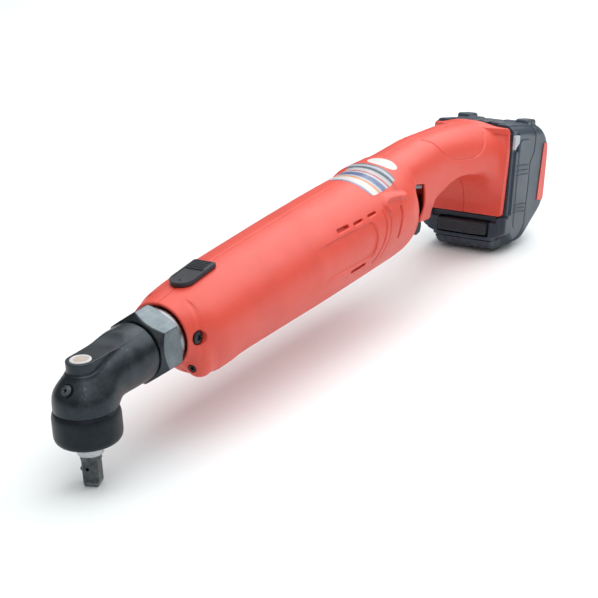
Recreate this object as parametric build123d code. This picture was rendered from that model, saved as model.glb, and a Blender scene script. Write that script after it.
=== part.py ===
from build123d import *
import math
import os

# ---------------------------------------------------------------------------
# Cordless angle nutrunner, millimetres.
# Working axes: X along the barrel towards the head, Y to the left, Z up.
# The barrel axis and the spindle axis cross at the working origin.  All pieces
# are lifted by LIFT on export so that the shoulder of the square drive is the
# origin of the finished part.
# ---------------------------------------------------------------------------

# spindle and square drive
SQUARE = 9.525            # three eighths inch square drive
SHOULDER_Z = -46.0        # shoulder of the square below the barrel axis
TIP_Z = -62.5             # end of the square
SQUARE_TURN = 20.0        # how the square is turned in the rest pose, degrees
COLLAR_R = 7.65
JOURNAL_R = 7.5
SPINDLE_R = 6.0
SPINDLE_TOP_R = 4.5
SPINDLE_TOP_Z = 11.0
DETENT_Z = -53.0
DETENT_R = 1.6
LIFT = -SHOULDER_Z

# angle head
BOSS_Z = 14.2
BOSS_R = 8.6
HEAD_R = 17.6
CAP_R = 19.7
CAP_TOP_Z = -14.5
CAP_BOTTOM_Z = -35.2
NECK_Z = -43.0            # lower end of the bright collar, a thinner neck leads to the square
NECK_R = 17.9
NECK_END_X = -56.0
PLUG_R = 6.3

# coupling nut
NUT_AF = 39.0
NUT_X0 = -48.0
NUT_X1 = -66.0
NUT_TURN = 34.0           # degrees the hexagon is turned about the barrel axis

# bevel pair
BEVEL_Z1 = 13
BEVEL_Z2 = 21
BEVEL_R1 = 8.0
BEVEL_FACE = 5.0

# planetary stages
MODULE = 1.0
Z_SUN = 12
Z_PLANET = 15
Z_RING = 42
ORBIT_R = MODULE * (Z_SUN + Z_PLANET) / 2
GEAR_X = -33.0            # the gear stages and the motor sit this far behind their own zero
STAGE2_X = (-110.5, -119.5)
STAGE1_X = (-128.0, -137.0)
RING_X = (-109.0, -138.5)
RING_OUT_R = 22.9
CASE_IN_R = 22.95
CASE_OUT_R = 24.6

# motor
MOTOR_X0 = -150.0
MOTOR_X1 = -214.0
MOTOR_R = 25.5

# barrel: x, half width, half height, height of the section's centre
BARREL = [(-70.9, 20.9, 20.75, 0.55), (-75.0, 22.2, 20.9, 0.95), (-80.0, 24.4, 22.2, 0.3), (-85.0, 26.6, 23.8, -0.4),
          (-90.0, 28.4, 25.5, -1.25), (-94.0, 29.5, 28.0, -3.15), (-98.0, 30.1, 29.85, -4.35), (-104.0, 30.4, 30.4, -4.2),
          (-136.0, 31.4, 31.4, -2.8), (-180.0, 32.4, 32.4, -2.3), (-216.0, 33.2, 33.2, -2.0), (-260.0, 33.7, 33.7, -1.6),
          (-300.0, 33.8, 33.8, -1.5), (-316.0, 33.4, 33.4, -1.5), (-325.0, 32.2, 32.2, -1.4), (-330.5, 30.0, 30.0, -1.2),
          (-333.5, 26.5, 26.5, -0.8)]
# swellings round the front screws on each side: front end, rear end (x, y, z), radius
NOSE_BOSS = [((-83.4, 18.0, -18.7), (-112.0, 15.0, -17.5)), ((-83.4, 17.4, -9.5), (-112.0, 17.0, -8.5))]
NOSE_BOSS_R = 8.0
WALL = 3.0

# grip: x, z, tilt in degrees, half width, half height
GRIP = [(-312.0, 3.0, 0.0, 25.5, 28.6), (-345.0, 5.4, 1.5, 22.8, 28.0), (-372.0, 5.6, 4.0, 22.0, 28.5),
        (-400.0, 3.0, 8.0, 22.4, 29.4), (-424.0, -0.9, 11.5, 24.4, 31.0), (-440.0, -4.5, 13.0, 26.4, 32.2),
        (-453.0, -7.7, 13.5, 28.6, 33.6), (-462.1, -9.9, 13.5, 31.0, 34.4)]
GRIP_POWER = 2.5
# hand opening under the grip, from the trigger guard back to the foot (x, z), and the same line one wall further out
ARCH = [(-372.5, -60.0), (-371.0, -23.0), (-371.4, -14.0), (-373.0, -8.0), (-377.0, -4.0), (-384.0, -1.8), (-396.0, -0.9), (-408.0, -1.1),
        (-420.0, -2.9), (-432.0, -6.4), (-441.0, -10.6), (-449.0, -17.0), (-455.5, -27.0), (-466.0, -36.0), (-466.0, -60.0)]
ARCH_WALL = [(-369.4, -60.0), (-367.9, -23.0), (-368.3, -13.0), (-370.2, -6.4), (-375.4, -1.4), (-383.4, 1.2), (-396.0, 2.1), (-408.3, 1.9),
             (-420.8, 0.0), (-433.1, -3.7), (-442.6, -8.0), (-451.2, -14.9), (-458.4, -25.9), (-470.0, -36.0), (-470.0, -60.0)]

# foot and battery frame: local x forward, z up along the slide, origin at the
# middle of the foot's lower edge
FOOT_X = -454.7
FOOT_Z = -45.1
DROOP = 13.5
FOOT_W = 33.0
FOOT_H = 67.0
PACK_W = 35.6
PACK_TOP = 69.0

# trigger slot
SLOT_X0 = -336.0
SLOT_X1 = -368.0
SLOT_TOP = 12.6

# selector
SEL_X = -105.5
SEL_Z = 26.6
SEL_SLOPE = 5.7
SEL_W = 8.0
SEL_TRAVEL = 7.0

OUT = "parts"
os.makedirs(OUT, exist_ok=True)


# ---------------------------------------------------------------------------
# helpers
# ---------------------------------------------------------------------------
def cx(r, x0, x1, y=0.0, z=0.0):
    """cylinder along X between x0 and x1"""
    lo, hi = min(x0, x1), max(x0, x1)
    return Pos((lo + hi) / 2, y, z) * Rot(0, 90, 0) * Cylinder(r, hi - lo)


def cy(r, y0, y1, x=0.0, z=0.0):
    lo, hi = min(y0, y1), max(y0, y1)
    return Pos(x, (lo + hi) / 2, z) * Rot(90, 0, 0) * Cylinder(r, hi - lo)


def cz(r, z0, z1, x=0.0, y=0.0):
    lo, hi = min(z0, z1), max(z0, z1)
    return Pos(x, y, (lo + hi) / 2) * Cylinder(r, hi - lo)


def box(x0, x1, y0, y1, z0, z1):
    return Pos((x0 + x1) / 2, (y0 + y1) / 2, (z0 + z1) / 2) * Box(abs(x1 - x0), abs(y1 - y0), abs(z1 - z0))


def turn_z(points):
    """solid of revolution about Z from (r, z) points"""
    wire = Polyline(*[(r, 0, z) for r, z in points], close=True)
    return revolve(make_face(wire), Axis.Z, 360)


def turn_x(points):
    """solid of revolution about X from (x, r) points"""
    wire = Polyline(*[(x, 0, r) for x, r in points], close=True)
    return revolve(make_face(wire), Axis.X, 360)


def prism_y(points, y0, y1):
    """side profile (x, z) extruded between y0 and y1"""
    wire = Polyline(*[(x, y0, z) for x, z in points], close=True)
    return extrude(make_face(wire), amount=abs(y1 - y0), dir=(0, 1 if y1 > y0 else -1, 0))


def soft(shape, edges, r):
    """round the given edges, stepping down if the radius doesn't fit"""
    for k in (1.0, 0.7, 0.4):
        try:
            out = fillet(edges, r * k)
            if out.is_valid and out.volume > 0:
                return out
        except Exception:
            pass
    return shape


def at_foot(shape):
    return Location((FOOT_X, 0, FOOT_Z), (0, -DROOP, 0)) * shape


def back(shape):
    return Pos(GEAR_X, 0, 0) * shape


def at_selector(shape):
    return Location((SEL_X, 0, SEL_Z), (0, SEL_SLOPE, 0)) * shape


def keep(name, *shapes):
    """write one piece, or a group of identical separate solids, lifted to the part's frame"""
    solids = []
    for s in shapes:
        moved = Pos(0, 0, LIFT) * s
        solids += list(moved.solids())
    shape = solids[0] if len(solids) == 1 else Compound(children=solids)
    export_step(shape, os.path.join(OUT, name + ".step"))


# ---------------------------------------------------------------------------
# gears
# ---------------------------------------------------------------------------
def spur_points(z, m, thick, add, ded, start=0.0, alpha=math.radians(24)):
    """outline of a spur gear; thick is tooth thickness over pitch; a tooth is centred on start (radians)"""
    rp = m * z / 2
    rb = rp * math.cos(alpha)
    ra, rf = rp + add, rp - ded
    inv = lambda a: math.tan(a) - a
    half = lambda r: thick * math.pi / z + inv(alpha) - inv(math.acos(min(1.0, rb / r)))
    low = max(rf, rb * 1.0005)
    radii = [low + (ra - low) * k / 3 for k in range(4)]
    pts = []
    for i in range(z):
        c = start + 2 * math.pi * i / z
        left = [(rf, half(low))] if rf < low - 0.02 else []
        flank = left + [(r, half(r)) for r in radii]
        pts += [(r * math.cos(c - t), r * math.sin(c - t)) for r, t in flank]
        pts += [(r * math.cos(c + t), r * math.sin(c + t)) for r, t in reversed(flank)]
    return pts


def outline_x(points, x0, x1):
    """extrude an outline given in the YZ plane from x0 to x1"""
    wire = Polyline(*[(x0, y, z) for y, z in points], close=True)
    return extrude(make_face(wire), amount=abs(x1 - x0), dir=(1 if x1 > x0 else -1, 0, 0))


def bevel(axis, radial0, z, r, other_r, face, start, thick, bore, back):
    """straight bevel gear with its apex at the working origin.  axis points from the apex to the
    gear's back, radial0 is the direction of angle zero, r its pitch radius at the large end"""
    a = Vector(*axis)
    e0 = Vector(*radial0)
    e1 = a.cross(e0)
    cone = math.hypot(r, other_r)
    delta = math.atan2(r, other_r)
    m = 2 * r / z
    k_small = (cone - face) / cone
    ca, sa = math.cos(delta), math.sin(delta)
    add, ded = 0.72 * m, 1.0 * m
    # tooth section: offset along the tangent, height along the back cone
    half_p = thick * math.pi * m / 2
    sec = [(-half_p - 0.36 * ded, -ded), (-half_p, 0.0), (-half_p + 0.42 * add, add),
           (half_p - 0.42 * add, add), (half_p, 0.0), (half_p + 0.36 * ded, -ded)]
    # body: root cone with a flat back
    root = lambda s, w: (s * (cone * ca - w * sa), s * (cone * sa + w * ca))
    body_w = -ded + 0.12 * m
    h1, r1 = root(1.0, body_w)
    h0, r0 = root(k_small, body_w)
    plane = Plane(origin=(0, 0, 0), x_dir=e0, z_dir=a)
    prof = [(bore, h0), (r0, h0), (r1, h1), (r1 - 0.6, back), (bore, back)]
    blank = revolve(make_face(Polyline(*[(q, 0, h) for q, h in prof], close=True)), Axis.Z, 360)
    gear = plane.location * blank
    teeth = []
    for i in range(z):
        c = start + 2 * math.pi * i / z
        rad = e0 * math.cos(c) + e1 * math.sin(c)
        tan = e1 * math.cos(c) - e0 * math.sin(c)
        e = a * ca + rad * sa
        n = a * (-sa) + rad * ca
        rings = []
        for s in (1.0, k_small):
            pts = [(e * cone + n * w + tan * t) * s for t, w in sec]
            rings.append(make_face(Polyline(*[(p.X, p.Y, p.Z) for p in pts], close=True)))
        teeth.append(loft(rings, ruled=True))
    for t in teeth:
        gear = gear + t
    return gear


# ---------------------------------------------------------------------------
# angle head
# ---------------------------------------------------------------------------
head_turned = turn_z([(0, BOSS_Z), (BOSS_R - 0.4, BOSS_Z), (BOSS_R, BOSS_Z - 0.4), (BOSS_R, 7.4), (9.6, 6.3),
                      (15.8, -2.2), (17.0, -4.6), (HEAD_R, -7.2), (HEAD_R, CAP_TOP_Z), (16.4, CAP_TOP_Z),
                      (16.4, -21.8), (0, -21.8)])


def ring_yz(x, r, zc):
    return Plane(origin=(x, 0, zc), x_dir=(0, 1, 0), z_dir=(1, 0, 0)) * Circle(r)


neck = loft([ring_yz(-3.0, 14.6, -2.8), ring_yz(-14.0, 16.0, -1.7), ring_yz(-26.0, 17.2, -0.6), ring_yz(-36.0, NECK_R, 0),
             ring_yz(-47.0, NECK_R, 0)])
pad = box(-31.0, 0.0, -BOSS_R, BOSS_R, -4.0, BOSS_Z)
spigot = cx(15.3, -46.5, NECK_END_X)
head = head_turned + neck + pad + spigot
# the flat milled on top of the neck, with the cutter's run-out at its rear end
head = head - prism_y([(12, BOSS_Z), (-27, BOSS_Z), (-31, BOSS_Z + 0.5), (-36, BOSS_Z + 2.2), (-40, BOSS_Z + 4.4),
                       (-40, 30), (12, 30)], -12, 12)
# gear chamber, pinion bore, bearing seats, bushing seat and plug seat
chamber = turn_z([(0, -21.8), (14.4, -21.8), (14.4, -5.5), (12.2, -1.5), (6.4, 1.0), (0, 1.0)])
head = head - chamber
head = head - cx(9.8, -5.0, -30.0) - cx(11.05, -28.0, -40.0) - cx(7.0, -39.0, -60.0)
head = head - cz(6.5, 0.0, 11.6) - cz(PLUG_R + 0.02, 12.4, 20.0)
head = head - (Pos(13.85, 0, 0.6) * Rot(0, 53.9, 0) * Cylinder(2.0, 14))
head = head - (cz(CAP_R + 0.2, CAP_TOP_Z, -40) - cz(16.4, CAP_TOP_Z + 1, -41))
keep("angle_head", head)

plug = cz(PLUG_R, 12.4, BOSS_Z + 0.15)
plug = soft(plug, plug.faces().sort_by(Axis.Z)[-1].edges(), 0.4)
keep("top_plug", plug)

fit_len = [(0.55, -3.0), (1.95, -3.0), (1.95, 0.2), (3.2, 0.2), (3.2, 1.0), (2.3, 1.6), (2.3, 2.0), (0.55, 2.0)]
fitting = Pos(13.85, 0, 0.6) * Rot(0, 53.9, 0) * turn_z(fit_len)
keep("grease_fitting", fitting)

cap = turn_z([(16.45, CAP_TOP_Z - 0.02), (CAP_R - 0.8, CAP_TOP_Z - 0.02), (CAP_R, CAP_TOP_Z - 0.9), (CAP_R, -19.4), (CAP_R - 0.5, -19.9),
              (CAP_R - 0.5, -20.7), (CAP_R, -21.2), (CAP_R, -30.2), (CAP_R - 0.45, -32.2), (CAP_R - 1.4, -33.6), (CAP_R - 3.0, -34.6),
              (CAP_R - 5.4, CAP_BOTTOM_Z), (8.4, CAP_BOTTOM_Z), (8.4, -33.4), (10.0, -33.4), (10.0, -30.2), (14.05, -30.2),
              (14.05, -21.85), (16.45, -21.85)])
keep("head_cap", cap)

bushing = cz(6.48, 3.2, 11.4) - cz(SPINDLE_TOP_R + 0.04, 3.0, 11.5)
keep("spindle_bushing", bushing)


def bearing_z(ro, ri, z0, z1):
    """sealed ball bearing on Z: rings with a recessed shield between them"""
    w = ro - ri
    return turn_z([(ri, z0 + 0.3), (ri + 0.3, z0), (ri + 0.26 * w, z0), (ri + 0.3 * w, z0 - 0.5), (ro - 0.3 * w, z0 - 0.5),
                   (ro - 0.26 * w, z0), (ro - 0.3, z0), (ro, z0 - 0.3), (ro, z1 + 0.3), (ro - 0.3, z1), (ro - 0.26 * w, z1),
                   (ro - 0.3 * w, z1 + 0.5), (ri + 0.3 * w, z1 + 0.5), (ri + 0.26 * w, z1), (ri + 0.3, z1), (ri, z1 + 0.3)][1:])


def bearing_x(ro, ri, x0, x1):
    """sealed ball bearing on X, x0 ahead of x1"""
    w = ro - ri
    return turn_x([(x0, ri), (x0, ri + 0.26 * w), (x0 - 0.5, ri + 0.3 * w), (x0 - 0.5, ro - 0.3 * w), (x0, ro - 0.26 * w), (x0, ro),
                   (x1, ro), (x1, ro - 0.26 * w), (x1 + 0.5, ro - 0.3 * w), (x1 + 0.5, ri + 0.3 * w), (x1, ri + 0.26 * w), (x1, ri)])


keep("spindle_bearing", bearing_z(14.0, JOURNAL_R + 0.04, -22.4, -29.8))
keep("spindle_seal", cz(9.95, -30.6, -33.0) - cz(JOURNAL_R + 0.08, -30.0, -34.0))

# spindle: top journal, gear seat, bearing journal, bright collar and the square
spindle = cz(SPINDLE_TOP_R, SPINDLE_TOP_Z, 2.6) + cz(SPINDLE_R, 2.6, -19.5) + cz(9.0, -19.0, -22.0) + cz(JOURNAL_R, -19.5, -36.0)
collar = turn_z([(0, -35.7), (COLLAR_R, -35.7), (COLLAR_R, NECK_Z + 0.6), (COLLAR_R - 0.6, NECK_Z), (6.3, NECK_Z), (6.3, SHOULDER_Z), (0, SHOULDER_Z)])
square = Pos(0, 0, (SHOULDER_Z + TIP_Z) / 2) * Box(SQUARE, SQUARE, SHOULDER_Z - TIP_Z)
square = soft(square, square.edges().filter_by(Axis.Z), 0.9)
square = soft(square, square.faces().sort_by(Axis.Z)[0].edges(), 0.8)
square = Rot(0, 0, SQUARE_TURN) * square
spindle = spindle + collar + square
pin_dir = SQUARE_TURN - 90
pin_hole = Rot(0, 0, pin_dir) * cx(DETENT_R + 0.04, -1.0, 9.0, 0, DETENT_Z)
poke_hole = Rot(0, 0, SQUARE_TURN) * cx(0.9, -1.0, 9.0, 0, DETENT_Z)
spindle = spindle - pin_hole - poke_hole
keep("output_spindle", spindle)

detent = Rot(0, 0, pin_dir) * (cx(DETENT_R, 1.2, 5.4, 0, DETENT_Z) + Pos(5.4, 0, DETENT_Z) * Sphere(DETENT_R))
keep("detent_pin", detent)
spring = Rot(0, 0, pin_dir) * (cx(1.2, -0.9, 1.1, 0, DETENT_Z) - cx(0.7, -2, 2, 0, DETENT_Z))
keep("detent_spring", spring)

bevel_r2 = BEVEL_R1 * BEVEL_Z2 / BEVEL_Z1
# big gear below the axis, a gap of its teeth faces the pinion
bevel_gear = bevel((0, 0, -1), (-1, 0, 0), BEVEL_Z2, bevel_r2, BEVEL_R1, BEVEL_FACE, math.pi / BEVEL_Z2, 0.36, SPINDLE_R, 18.9)
keep("bevel_gear", bevel_gear)
pinion_gear = bevel((-1, 0, 0), (0, 0, -1), BEVEL_Z1, BEVEL_R1, bevel_r2, BEVEL_FACE, 0.0, 0.36, 3.2, 17.0)

# ---------------------------------------------------------------------------
# coupling
# ---------------------------------------------------------------------------
keep("neck_ring", cx(17.0, -51.0, NECK_END_X) - cx(15.32, -50.0, -57.0))

hexagon = Plane(origin=(NUT_X1, 0, 0), x_dir=(0, 1, 0), z_dir=(1, 0, 0)) * Rot(0, 0, NUT_TURN) * RegularPolygon(NUT_AF / 2, 6, major_radius=False)
nut = extrude(hexagon, amount=NUT_X0 - NUT_X1, dir=(1, 0, 0))
nut = nut & turn_x([(NUT_X0, 0), (NUT_X0, 18.3), (NUT_X0 - 4.0, 22.6), (NUT_X1 + 1.6, 22.6), (NUT_X1, 20.6), (NUT_X1, 0)])
nut = nut - cx(15.5, -40, -52) - cx(17.2, -50.8, -70)
keep("coupling_nut", nut)

# gear case: threaded nose under the nut, bright collar, body round the ring gear
case = turn_x([(NECK_END_X - 0.05, 8.2), (NECK_END_X - 0.05, 16.2), (-57.0, 17.1), (-66.2, 17.1), (-66.2, 18.9), (-69.8, 18.9),
               (-69.8, 16.6), (-90.0 + GEAR_X, 16.6), (-93.0 + GEAR_X, CASE_OUT_R), (-141.0 + GEAR_X, CASE_OUT_R),
               (-141.0 + GEAR_X, CASE_IN_R), (-102.0 + GEAR_X, CASE_IN_R), (-102.0 + GEAR_X, 11.05),
               (-90.0 + GEAR_X, 11.05), (-90.0 + GEAR_X, 8.2)])
keep("gear_case", case)
cover = turn_x([(-141.05, 8.05), (-141.05, CASE_OUT_R), (-146.5, CASE_OUT_R), (-146.5, 8.05)])
keep("gear_case_cover", back(cover))

ring_hole = spur_points(Z_RING, MODULE, 0.58, 1.15, 0.80, math.pi * 0)
# a space of the ring lies on +Y, where the first planet sits
ring_gear = cx(RING_OUT_R, *RING_X) - outline_x(ring_hole, RING_X[0] + 1, RING_X[1] - 1)
keep("ring_gear", back(ring_gear))

# drive shaft with the bevel pinion, running in two bearings, and the second carrier on its end
shaft = turn_x([(-9.0, 0), (-9.0, 3.2), (-17.0, 3.2), (-17.0, 5.6), (-28.0, 5.6), (-28.0, 5.0), (-103.5 + GEAR_X, 5.0),
                (-103.5 + GEAR_X, 6.2), (-108.9 + GEAR_X, 6.2), (-108.9 + GEAR_X, 0)])
keep("drive_shaft", shaft)
keep("bevel_pinion", pinion_gear)
keep("shaft_bearings", bearing_x(11.0, 5.04, -30.5, -39.0), back(bearing_x(11.0, 5.04, -91.0, -100.0)))


def carrier(x_front, x_back):
    plate = cx(19.6, x_front, x_back)
    for k in range(3):
        t = math.radians(120 * k)
        plate = plate - cx(2.0, x_front + 1, x_back - 1, ORBIT_R * math.cos(t), ORBIT_R * math.sin(t))
    return plate


carrier2 = carrier(-104.5, -109.6) - cx(6.22, -100.0, -108.9) - cx(3.0, -108.0, -110.0)
keep("output_carrier", back(carrier2))
pins2 = [cx(1.98, -104.6, STAGE2_X[1] - 0.4, ORBIT_R * math.cos(math.radians(120 * k)), ORBIT_R * math.sin(math.radians(120 * k))) for k in range(3)]
keep("output_carrier_pins", *[back(q) for q in pins2])
carrier1 = carrier(-121.5, -126.8) - cx(3.0, -121.0, -130.0)

pins1 = [cx(1.98, -121.6, STAGE1_X[1] - 0.4, ORBIT_R * math.cos(math.radians(120 * k)), ORBIT_R * math.sin(math.radians(120 * k))) for k in range(3)]
keep("first_carrier_pins", *[back(q) for q in pins1])
sun_pts = spur_points(Z_SUN, MODULE, 0.42, 0.80, 1.15, 0.0)
# the second sun stands on the front of the first carrier
sun2 = outline_x(sun_pts, -110.6, -121.6) + cx(3.0, -121.4, -126.8)
keep("first_carrier", back(carrier1 + sun2))

planet_pts = spur_points(Z_PLANET, MODULE, 0.42, 0.80, 1.15, 0.0)
for stage, (xa, xb) in ((1, STAGE1_X), (2, STAGE2_X)):
    for k in range(3):
        t = 120.0 * k
        # tooth facing outwards into the ring, space facing the sun
        g = outline_x(planet_pts, xa, xb) - cx(2.03, xa + 1, xb - 1)
        g = Rot(t, 0, 0) * (Pos(0, ORBIT_R, 0) * g)
        keep(f"planet_{stage}{'abc'[k]}", back(g))

# ---------------------------------------------------------------------------
# motor
# ---------------------------------------------------------------------------
# the first sun is cut on the end of the rotor shaft
keep("rotor_shaft", back(cx(2.5, -127.0, -252.0) + outline_x(sun_pts, -127.2, -139.5)))
core = cx(18.2, -156.0, -206.0) - cx(2.5, -150, -210)
for k in range(8):
    t = math.radians(45 * k + 10)
    core = core - Rot(45 * k + 10, 0, 0) * box(-210, -150, 13.0, 20.0, -1.1, 1.1)
keep("rotor_core", back(core))
fan = cx(21.0, -217.5, -219.0) + cx(6.0, -217.5, -227.0) - cx(2.5, -210, -230)
for k in range(11):
    fan = fan + Rot(360 / 11 * k, 0, 0) * box(-226.5, -218.5, 7.5, 20.8, -0.6, 0.6)
keep("cooling_fan", back(fan))
keep("commutator", back(cx(9.0, -230.0, -241.0) - cx(2.5, -225, -245)))
can = cx(MOTOR_R, MOTOR_X0, MOTOR_X1) - cx(MOTOR_R - 1.8, MOTOR_X0 - 2.0, MOTOR_X1 - 2) - cx(8.0, MOTOR_X0 + 1, MOTOR_X0 - 5)
keep("motor_can", back(can))
mags = []
for s in (0, 180):
    arc = (cx(MOTOR_R - 1.85, -157.0, -205.0) - cx(18.9, -150, -210)) & box(-210, -150, 4.0, 30, -22, 22)
    mags.append(Rot(s, 0, 0) * arc)
keep("motor_magnets", *[back(q) for q in mags])
bell = turn_x([(-214.05, 22.2), (-214.05, MOTOR_R), (-247.0, MOTOR_R), (-253.0, 14.0), (-253.0, 8.05), (-244.0, 8.05), (-244.0, 22.2)])
for k in range(6):
    bell = bell - Rot(60 * k + 30, 0, 0) * box(-228, -218, 15, 40, -5, 5)
keep("motor_end_bell", back(bell))
brushes = [Rot(s, 0, 0) * box(-239.0, -232.0, 9.35, 17.0, -2.6, 2.6) for s in (90, 270)]
holders = [Rot(s, 0, 0) * (box(-240.5, -230.5, 12.0, 21.6, -4.0, 4.0) - box(-239.02, -231.98, 9.0, 17.02, -2.62, 2.62)) for s in (90, 270)]
keep("motor_brushes", *[back(q) for q in brushes])
keep("brush_holders", *[back(q) for q in holders])
keep("motor_bearings", back(bearing_x(8.0, 2.54, -142.0, -146.4)), back(bearing_x(8.0, 2.54, -245.0, -251.5)))

# ---------------------------------------------------------------------------
# housing: barrel, grip and foot in two halves
# ---------------------------------------------------------------------------
def oval(x, z, tilt, hw, hh, n=GRIP_POWER, count=28):
    """closed smooth section across the grip"""
    pts = []
    for i in range(count):
        t = 2 * math.pi * i / count
        c, s = math.cos(t), math.sin(t)
        pts.append((hw * math.copysign(abs(c) ** (2 / n), c), hh * math.copysign(abs(s) ** (2 / n), s)))
    q = math.radians(tilt)
    plane = Plane(origin=(x, 0, z), x_dir=(0, 1, 0), z_dir=(math.cos(q), 0, math.sin(q)))
    return plane * make_face(Spline(*pts, periodic=True))


barrel_out = loft([oval(x, zc, 0.0, w, h, 2.0, 24) for x, w, h, zc in BARREL], ruled=True)
barrel_in = loft([oval(x, zc, 0.0, w - WALL, h - WALL, 2.0, 24) for x, w, h, zc in BARREL[4:15]], ruled=True)
for (x0, y0, z0), (x1, y1, z1) in NOSE_BOSS:
    for s in (1, -1):
        a, b = Vector(x0, s * y0, z0), Vector(x1, s * y1, z1)
        mid = (a + b) * 0.5
        rod = Plane(origin=(mid.X, mid.Y, mid.Z), z_dir=b - a).location * Cylinder(NOSE_BOSS_R, (b - a).length)
        barrel_out = barrel_out + rod + Pos(x0, s * y0, z0) * Sphere(NOSE_BOSS_R)
guard = box(-371.4, -346.0, -17.0, 17.0, -22.3, 0.0)
guard = soft(guard, guard.faces().sort_by(Axis.Z)[0].edges().filter_by(Axis.X), 5.0)
grip_out = loft([oval(*g) for g in GRIP]) + guard - prism_y(ARCH, -60, 60)
grip_in = loft([oval(x, z, t, hw - WALL, hh - WALL) for x, z, t, hw, hh in GRIP]) - prism_y(ARCH_WALL, -60, 60)
flange = box(-3.0, 2.2, -FOOT_W, FOOT_W, 0, FOOT_H)
flange = at_foot(soft(flange, flange.edges().filter_by(Axis.X), 6.0))
tongue = at_foot(box(-7.0, -2.9, -19.0, 19.0, 5.0, 66.0) + box(-10.6, -7.0, -23.0, 23.0, 5.0, 66.0))
shell = barrel_out + grip_out + flange + tongue
# inside: front opening, barrel bore, grip bore, room for the contacts
inside = barrel_in + grip_in
shell = shell - inside - cx(19.3, -60.0, -74.5) - cx(17.0, -70.0, -94.0) - cx(CASE_OUT_R + 0.3, -121.0, -176.0)
shell = shell - at_foot(box(-5.4, -0.6, -14.0, 14.0, 12.0, 56.0) + box(-0.8, 12.0, -14.0, 14.0, 35.8, 56.0))
for y in (-9.0, 0.0, 9.0):
    shell = shell - at_foot(box(-12.0, -5.0, y - 0.6, y + 0.6, 21.6, 42.4))
# trigger slot under the front of the grip
slot = prism_y([(SLOT_X0, SLOT_TOP - 3), (SLOT_X0 - 2.5, SLOT_TOP), (-342.5, SLOT_TOP + 0.6), (-353.8, SLOT_TOP - 2.4), (-354.2, SLOT_TOP - 5.6), (-358.0, -40), (SLOT_X0, -40)], -40, 40)
shell = shell - slot
shell = shell - box(-368.4, -340.0, -8.6, 8.6, -40, 3.0) - box(-376.0, -360.0, -8.6, 8.6, -40, -11.6)
# selector recess and the slot for its stem
recess = at_selector(box(-16.5, 16.3 + SEL_TRAVEL - 8.0, -SEL_W - 0.4, SEL_W + 0.4, -1.2, 12) + cz(SEL_W + 0.4, -1.2, 12, 16.3 + SEL_TRAVEL - 8.0))
shell = shell - recess - at_selector(box(-6.0, 6.0 + SEL_TRAVEL, -2.6, 2.6, -9, 0))
# screw seats at the front of the barrel, both sides, and along the far side
# (one screw from the side, x z seat, and one from the front in the lower swelling, y z seat)
SIDE_SCREW = (-78.3, 0.55, 21.2)
NOSE_SCREW = (18.0, -18.7, -77.7)
for s in (1, -1):
    x, z, seat = SIDE_SCREW
    shell = shell - cy(4.4, s * seat, s * 45, x, z) - cy(1.6, s * (seat - 5.0), s * 45, x, z)
    y, z, seat = NOSE_SCREW
    shell = shell - cx(2.8, seat, -60.0, s * y, z) - cx(1.6, seat - 4.6, seat, s * y, z)
shell = shell.solids().sort_by(SortBy.VOLUME)[-1]
left = (Part() + shell) & box(-700, 200, 0, 80, -200, 200)
right = (Part() + shell) & box(-700, 200, -80, 0, -200, 200)
# screw bosses in the far-side half run through to the near half
REAR_SCREWS = [(-322.0, 20.0, 22.0), (-322.0, -20.0, 24.3), (-404.0, 19.0, 18.2), (-434.0, 6.0, 23.4)]
for x, z, y in REAR_SCREWS:
    left = left + (cy(4.0, 0, y, x, z) - cy(1.3, -1, 15, x, z))
    right = right + (cy(4.0, 0, -y, x, z) - cy(1.7, 1, -45, x, z))
    right = right - cy(3.2, -14.0, -45, x, z)
left_s = left.solids().sort_by(SortBy.VOLUME)
right_s = right.solids().sort_by(SortBy.VOLUME)
print("left pieces", [round(s.volume) for s in left_s], "right pieces", [round(s.volume) for s in right_s])
keep("housing_left", left_s[-1])
keep("housing_right", right_s[-1])


def screw_y(x, z, seat, length, side, head=2.9, tall=2.2):
    """pan screw along Y, its head outside the seat"""
    s = cy(head, side * seat, side * (seat + tall), x, z) + cy(1.25, side * seat, side * (seat - length), x, z)
    s = s - Pos(x, side * (seat + tall), z) * Rot(90, 0, 0) * Box(3.6, 0.8, 1.8) - Pos(x, side * (seat + tall), z) * Rot(90, 0, 0) * Box(0.8, 3.6, 1.8)
    return s


def screw_x(y, z, seat, length, head, tall):
    """the same screw along X, its head in front of the seat"""
    s = cx(head, seat, seat + tall, y, z) + cx(1.25, seat, seat - length, y, z)
    return s - Pos(seat + tall, y, z) * (Box(1.8, 3.6, 0.8) + Box(1.8, 0.8, 3.6))


front = [screw_y(SIDE_SCREW[0], SIDE_SCREW[1], SIDE_SCREW[2], 4.0, s, 2.6, 1.8) for s in (1, -1)]
front += [screw_x(s * NOSE_SCREW[0], NOSE_SCREW[1], NOSE_SCREW[2], 4.0, 2.6, 1.8) for s in (1, -1)]
keep("front_screws", *front)
keep("housing_screws", *[screw_y(x, z, 14.0, 24.0, -1) for x, z, y in REAR_SCREWS])

# ---------------------------------------------------------------------------
# selector
# ---------------------------------------------------------------------------
sel = box(-16.0, 8.0, -SEL_W, SEL_W, -0.9, 2.0) + cz(SEL_W, -0.9, 2.0, 8.0)
sel = soft(sel, sel.faces().sort_by(Axis.Z)[-1].edges(), 0.5)
for k in range(5):
    sel = sel + box(-14.2 + k * 2.2, -13.2 + k * 2.2, -6.2, 6.2, 1.9, 2.5)
sel = sel + box(-5.6, 5.6, -2.2, 2.2, -4.4, -0.5)
keep("selector_slide", at_selector(sel))

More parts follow.
